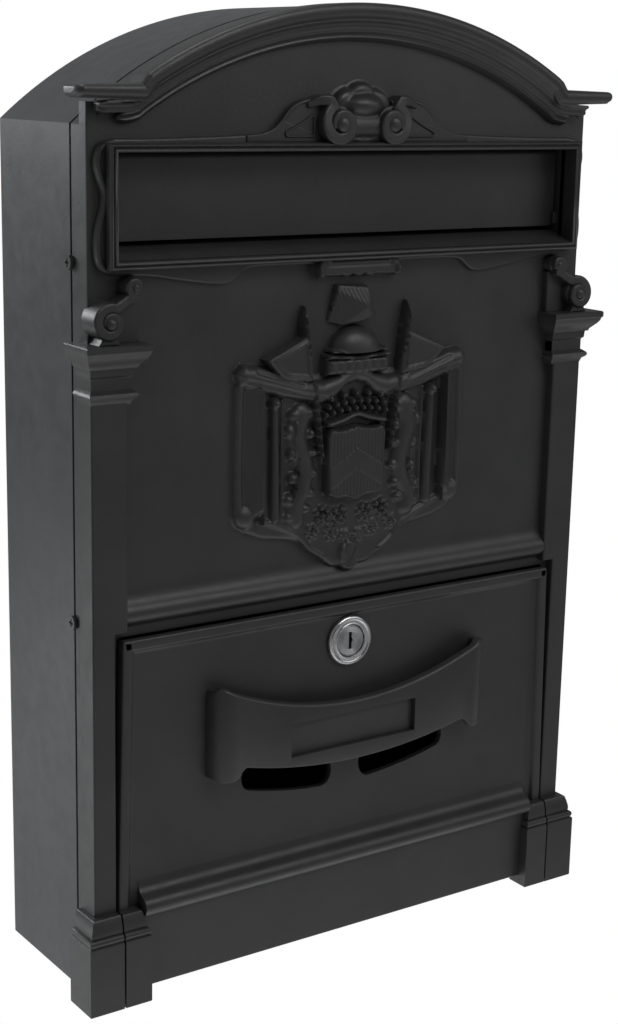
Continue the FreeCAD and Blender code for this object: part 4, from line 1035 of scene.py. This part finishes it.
def handle_path():
    """The band's outer face in plan: off the door, round a corner, along the bowed front and back."""
    corner, bow = 9.5, 1.0
    straight = HANDLE_HALF - corner

    def bowed(x):
        return HANDLE_DEPTH - bow * (1 - (x / HANDLE_HALF) ** 2)

    turn = arc((-straight, bowed(-straight) - corner), corner, 180, 90, 20)
    left = [(-HANDLE_HALF, PANEL_DEPTH)] + turn
    middle = [(x, bowed(x)) for x in np.linspace(-straight, straight, 141)[1:-1]]
    return left + middle + [(-x, depth) for x, depth in left[::-1]]


def make_handle():
    """A band with a dipped upper and a smiling lower edge, whose ends turn back to the door."""
    wall, dip, smile = 4.2, 17, 230.0

    def top(x):
        share = min(abs(x) / (HANDLE_HALF - 2), 1)
        rounding = max(abs(x) - (HANDLE_HALF - 5), 0) ** 2 * 0.10
        return HANDLE_HIGH - dip * (1 - share ** 2) - rounding

    def low(x):
        band = HANDLE_LOW + smile - math.sqrt(smile ** 2 - x ** 2)
        foot = np.interp(
            abs(x), [58, 59.5, 62.5, 64.5, 70, HANDLE_HALF],
            [band, band - 0.8, POST_LOW + 1.4, POST_LOW + 0.3, POST_LOW, POST_LOW + 1.2],
        )
        return min(band, float(foot))

    path = handle_path()
    points = []
    for (x, depth), step in zip(path, mitres(path, False)):
        high, bottom = top(x), low(x)
        ring = [
            (wall, bottom + 0.6), (wall - 0.5, bottom), (1, bottom), (0.25, bottom + 0.4),
            (0, bottom + 1.2), (0, high - 1.5), (0.3, high - 0.6), (1.2, high), (wall - 0.6, high),
            (wall, high - 0.7),
        ]
        for inward, height in ring:
            points.append((x - step[0] * inward, max(depth - step[1] * inward, PANEL_DEPTH), height))
    band = points, skin_faces(len(path), len(ring))
    stub = slab((60.8, 71), (PANEL_DEPTH, 84), (POST_LOW + 0.8, 128.5), 1.4)
    solid = piece(
        "pull_handle_cast", [band] + both(stub), "door", CAST, ["pull_handle"], "cast_powder_coat",
        sharp=45, weighted=False,
    )
    fit = 0.15
    widths, heights = (PLATE_LEFT - fit, PLATE_RIGHT + fit), (PLATE_LOW - fit, PLATE_HIGH + fit)
    recess = cutter(widths, (PLATE_BACK, HANDLE_DEPTH + 3), heights)
    cut = solid.modifiers.new("name_recess", "BOOLEAN")
    cut.operation = "DIFFERENCE"
    cut.solver = "EXACT"
    cut.object = recess
    apply_modifiers(solid)
    bpy.data.objects.remove(recess)
    solid.data.set_sharp_from_angle(angle=math.radians(40))


def cutter(widths, depths, heights):
    """A plain box for a boolean cut, which is removed afterwards."""
    corners = [spot(x, d, z) for x in widths for d in depths for z in heights]
    sides = [(0, 1, 3, 2), (4, 6, 7, 5), (0, 4, 5, 1), (2, 3, 7, 6), (0, 2, 6, 4), (1, 5, 7, 3)]
    mesh = bpy.data.meshes.new("cutter")
    mesh.from_pydata(corners, [], sides)
    tidy = bmesh.new()
    tidy.from_mesh(mesh)
    bmesh.ops.recalc_face_normals(tidy, faces=tidy.faces)
    tidy.to_mesh(mesh)
    tidy.free()
    item = bpy.data.objects.new("cutter", mesh)
    bpy.context.scene.collection.objects.link(item)
    return item


def apply_modifiers(item):
    """Puts the result of an object's modifiers into its own mesh."""
    bpy.context.view_layer.update()
    graph = bpy.context.evaluated_depsgraph_get()
    mesh = bpy.data.meshes.new_from_object(item.evaluated_get(graph))
    item.modifiers.clear()
    item.data = mesh


# ---------------------------------------------------------------- the lock


def make_lock():
    """The chromed barrel and the turning plug with its keyway."""
    seat = PANEL_DEPTH + 0.45
    barrel = [(PLUG + 0.1, LOCK_BACK), (9.3, LOCK_BACK), (9.3, seat), (LOCK_RIM, seat)]
    flange = (0, 1.3), (0.25, 0.6), (0.9, 0.1), (1.6, 0), (2, 0.35), (2.3, 0.5)
    barrel += [(LOCK_RIM - step, LOCK_FRONT - drop) for step, drop in flange]
    lip = (1.2, 0.45), (0.9, 0.15), (0.5, 0.2), (0.1, 1)
    barrel += [(PLUG + step, LOCK_FRONT - drop) for step, drop in lip]
    barrel = turned(barrel + [(PLUG + 0.1, LOCK_BACK)], 0, LOCK_AXIS, 72)
    piece("lock_barrel_turned", [barrel], "door", CHROME, ["lock_barrel"], "lock_chrome", sharp=50)
    half, wide, rise = 0.65, 1.15, 3.8
    outline = arc((0, LOCK_AXIS), PLUG, 0, 355, 72)
    keyway = [(-half, -rise), (half, -rise), (half, -0.6), (wide, -0.2)]
    keyway += [(wide, 0.9), (half, 1.3), (half, rise), (-half, rise)]
    keyway = [(x, LOCK_AXIS + z) for x, z in keyway]
    core = plate([outline, keyway], (LOCK_BACK, PLUG_FACE), 0.35)
    fillet = [(-0.25, -0.4), (-0.2, 0.02), (0, 0.12), (0.2, 0.02), (0.25, -0.4)]
    fillet = [(step, PLUG_FACE + lift) for step, lift in fillet]
    circles = [arc((0, LOCK_AXIS), radius, 0, 354, 60) for radius in (5.9, 5.1, 4.3)]
    rings = [sweep(circle, fillet, closed=True) for circle in circles]
    dot = [(0, -0.4), (0.55, -0.4), (0.5, 0.1), (0.3, 0.3), (0, 0.35)]
    dot = turned([(radius, PLUG_FACE + lift) for radius, lift in dot], 1.9, LOCK_AXIS + 2.4, 16)
    piece("lock_plug_face", [core, dot] + rings, "lock", NICKEL, ["lock_plug"], "plug_nickel", sharp=50)


# ---------------------------------------------------------------- the studio


def make_camera():
    """The camera that the picture's proportions ask for."""
    azimuth, elevation, roll = math.radians(34.78), math.radians(-13.47), math.radians(1.18)
    flat = math.cos(elevation)
    ahead = Vector((math.sin(azimuth) * flat, math.cos(azimuth) * flat, math.sin(elevation)))
    level = Vector((math.cos(azimuth), -math.sin(azimuth), 0))
    above = level.cross(ahead)
    right = math.cos(roll) * level + math.sin(roll) * above
    up = -math.sin(roll) * level + math.cos(roll) * above
    lens = bpy.data.cameras.new("camera")
    lens.lens = 63.95
    lens.sensor_width = 36.0
    lens.clip_start = 0.01
    item = bpy.data.objects.new("camera", lens)
    bpy.context.scene.collection.objects.link(item)
    turn = Matrix((right, up, -ahead)).transposed().to_4x4()
    item.matrix_world = Matrix.Translation((-0.4507, -0.6933, 0.1857)) @ turn
    bpy.context.scene.camera = item


def area_light(name, place, target, size, power, colour=(1, 1, 1)):
    light = bpy.data.lights.new(name, "AREA")
    light.shape = "RECTANGLE"
    light.size, light.size_y = size
    light.energy = power
    light.color = colour
    item = bpy.data.objects.new(name, light)
    bpy.context.scene.collection.objects.link(item)
    item.location = place
    item.rotation_euler = (Vector(target) - Vector(place)).to_track_quat("-Z", "Y").to_euler()
    return item


def make_floor():
    """A plain pale floor, which reads white to the camera and throws light back up round the object:
    besides its grey reflection it glows to all other rays, a painted pool of light brightest near the
    object.
    """
    level, reach = FOOT - 0.35, 14.0
    corners = [(a * reach, b * reach, level) for a, b in ((-1, -1), (1, -1), (1, 1), (-1, 1))]
    mesh = bpy.data.meshes.new("studio_floor")
    mesh.from_pydata(corners, [], [(0, 1, 2, 3)])
    finish = Finish("studio_floor")
    finish.fix(finish.shader, Base_Color=(0.42, 0.42, 0.42, 1), Roughness=0.9, Emission_Color=(1, 1, 1, 1))
    # painted pool of light: the floor's emission is strongest near the object and fades with distance, seen
    # by every ray but the camera's
    distance = finish.add("ShaderNodeVectorMath", operation="LENGTH")
    glow = finish.add("ShaderNodeMapRange", interpolation_type="SMOOTHSTEP")
    finish.fix(glow, From_Min=FLOOR_REACH[0], From_Max=FLOOR_REACH[1])
    finish.fix(glow, To_Min=FLOOR_GLOW[0], To_Max=FLOOR_GLOW[1])
    finish.link(finish.places.outputs["Object"], distance, 0)
    finish.link(distance.outputs["Value"], glow, "Value")
    finish.link(glow.outputs["Result"], finish.shader, "Emission Strength")
    white = finish.add("ShaderNodeEmission", Strength=1.0)
    finish.white_to_camera(finish.shader, white, "Material Output")
    mesh.materials.append(finish.material)
    floor = bpy.data.objects.new("studio_floor", mesh)
    bpy.context.scene.collection.objects.link(floor)


def make_surround():
    """A white surround that lights the object more from behind and the left than from the front."""
    world = bpy.data.worlds.new("studio")
    bpy.context.scene.world = world
    world.use_nodes = True
    nodes = Nodes(world.node_tree)
    seen = world.node_tree.nodes["Background"]
    nodes.fix(seen, Color=(1, 1, 1, 1))
    lit = nodes.add("ShaderNodeBackground", Color=(0.96, 0.98, 1, 1))
    places = nodes.add("ShaderNodeTexCoord")
    facing = nodes.add("ShaderNodeVectorMath", operation="DOT_PRODUCT")
    facing.inputs[1].default_value = (-0.62, 0.76, 0.2)
    spread = nodes.add("ShaderNodeMapRange", From_Min=-0.35, To_Min=SURROUND[0], To_Max=SURROUND[1])
    nodes.link(places.outputs["Generated"], facing, 0)
    nodes.link(facing.outputs["Value"], spread, "Value")
    nodes.link(spread.outputs["Result"], lit, "Strength")
    nodes.white_to_camera(lit, seen, "World Output")
    bpy.context.scene.view_settings.view_transform = "Standard"


def make_studio():
    """A key and a fill high on the right, two soft lights behind the left side and one overhead."""
    area_light("key", (1.10, -1.10, 0.65), (0, -0.07, 0.05), (1.1, 0.9), 3.2)
    area_light("side_high", (-0.62, 1.00, 0.42), (-0.13, -0.03, 0.17), (0.7, 0.3), 6.6, (0.94, 0.97, 1))
    area_light("side_low", (-1.00, 0.55, -0.40), (-0.12, -0.03, -0.19), (0.9, 0.16), 2.2, (0.96, 0.98, 1))
    area_light("overhead", (-0.1, 0.2, 1.8), (0, -0.03, 0.2), (1.2, 0.8), 8)
    area_light("fill", (0.30, -1.1, 1.1), (0.03, -0.07, 0.18), (0.9, 0.5), 6)
    make_floor()
    make_surround()


# ---------------------------------------------------------------- everything in order

dress_cad_nodes()
make_sheet()
make_web()
make_pilasters()
make_plinths()
make_capitals()
make_cornice()
make_slot_frame()
make_border()
make_crest()
make_cartouche()
make_consoles()
make_sill()
make_arms()
make_door_panel()
make_door_base()
make_handle()
make_lock()
make_camera()
make_studio()
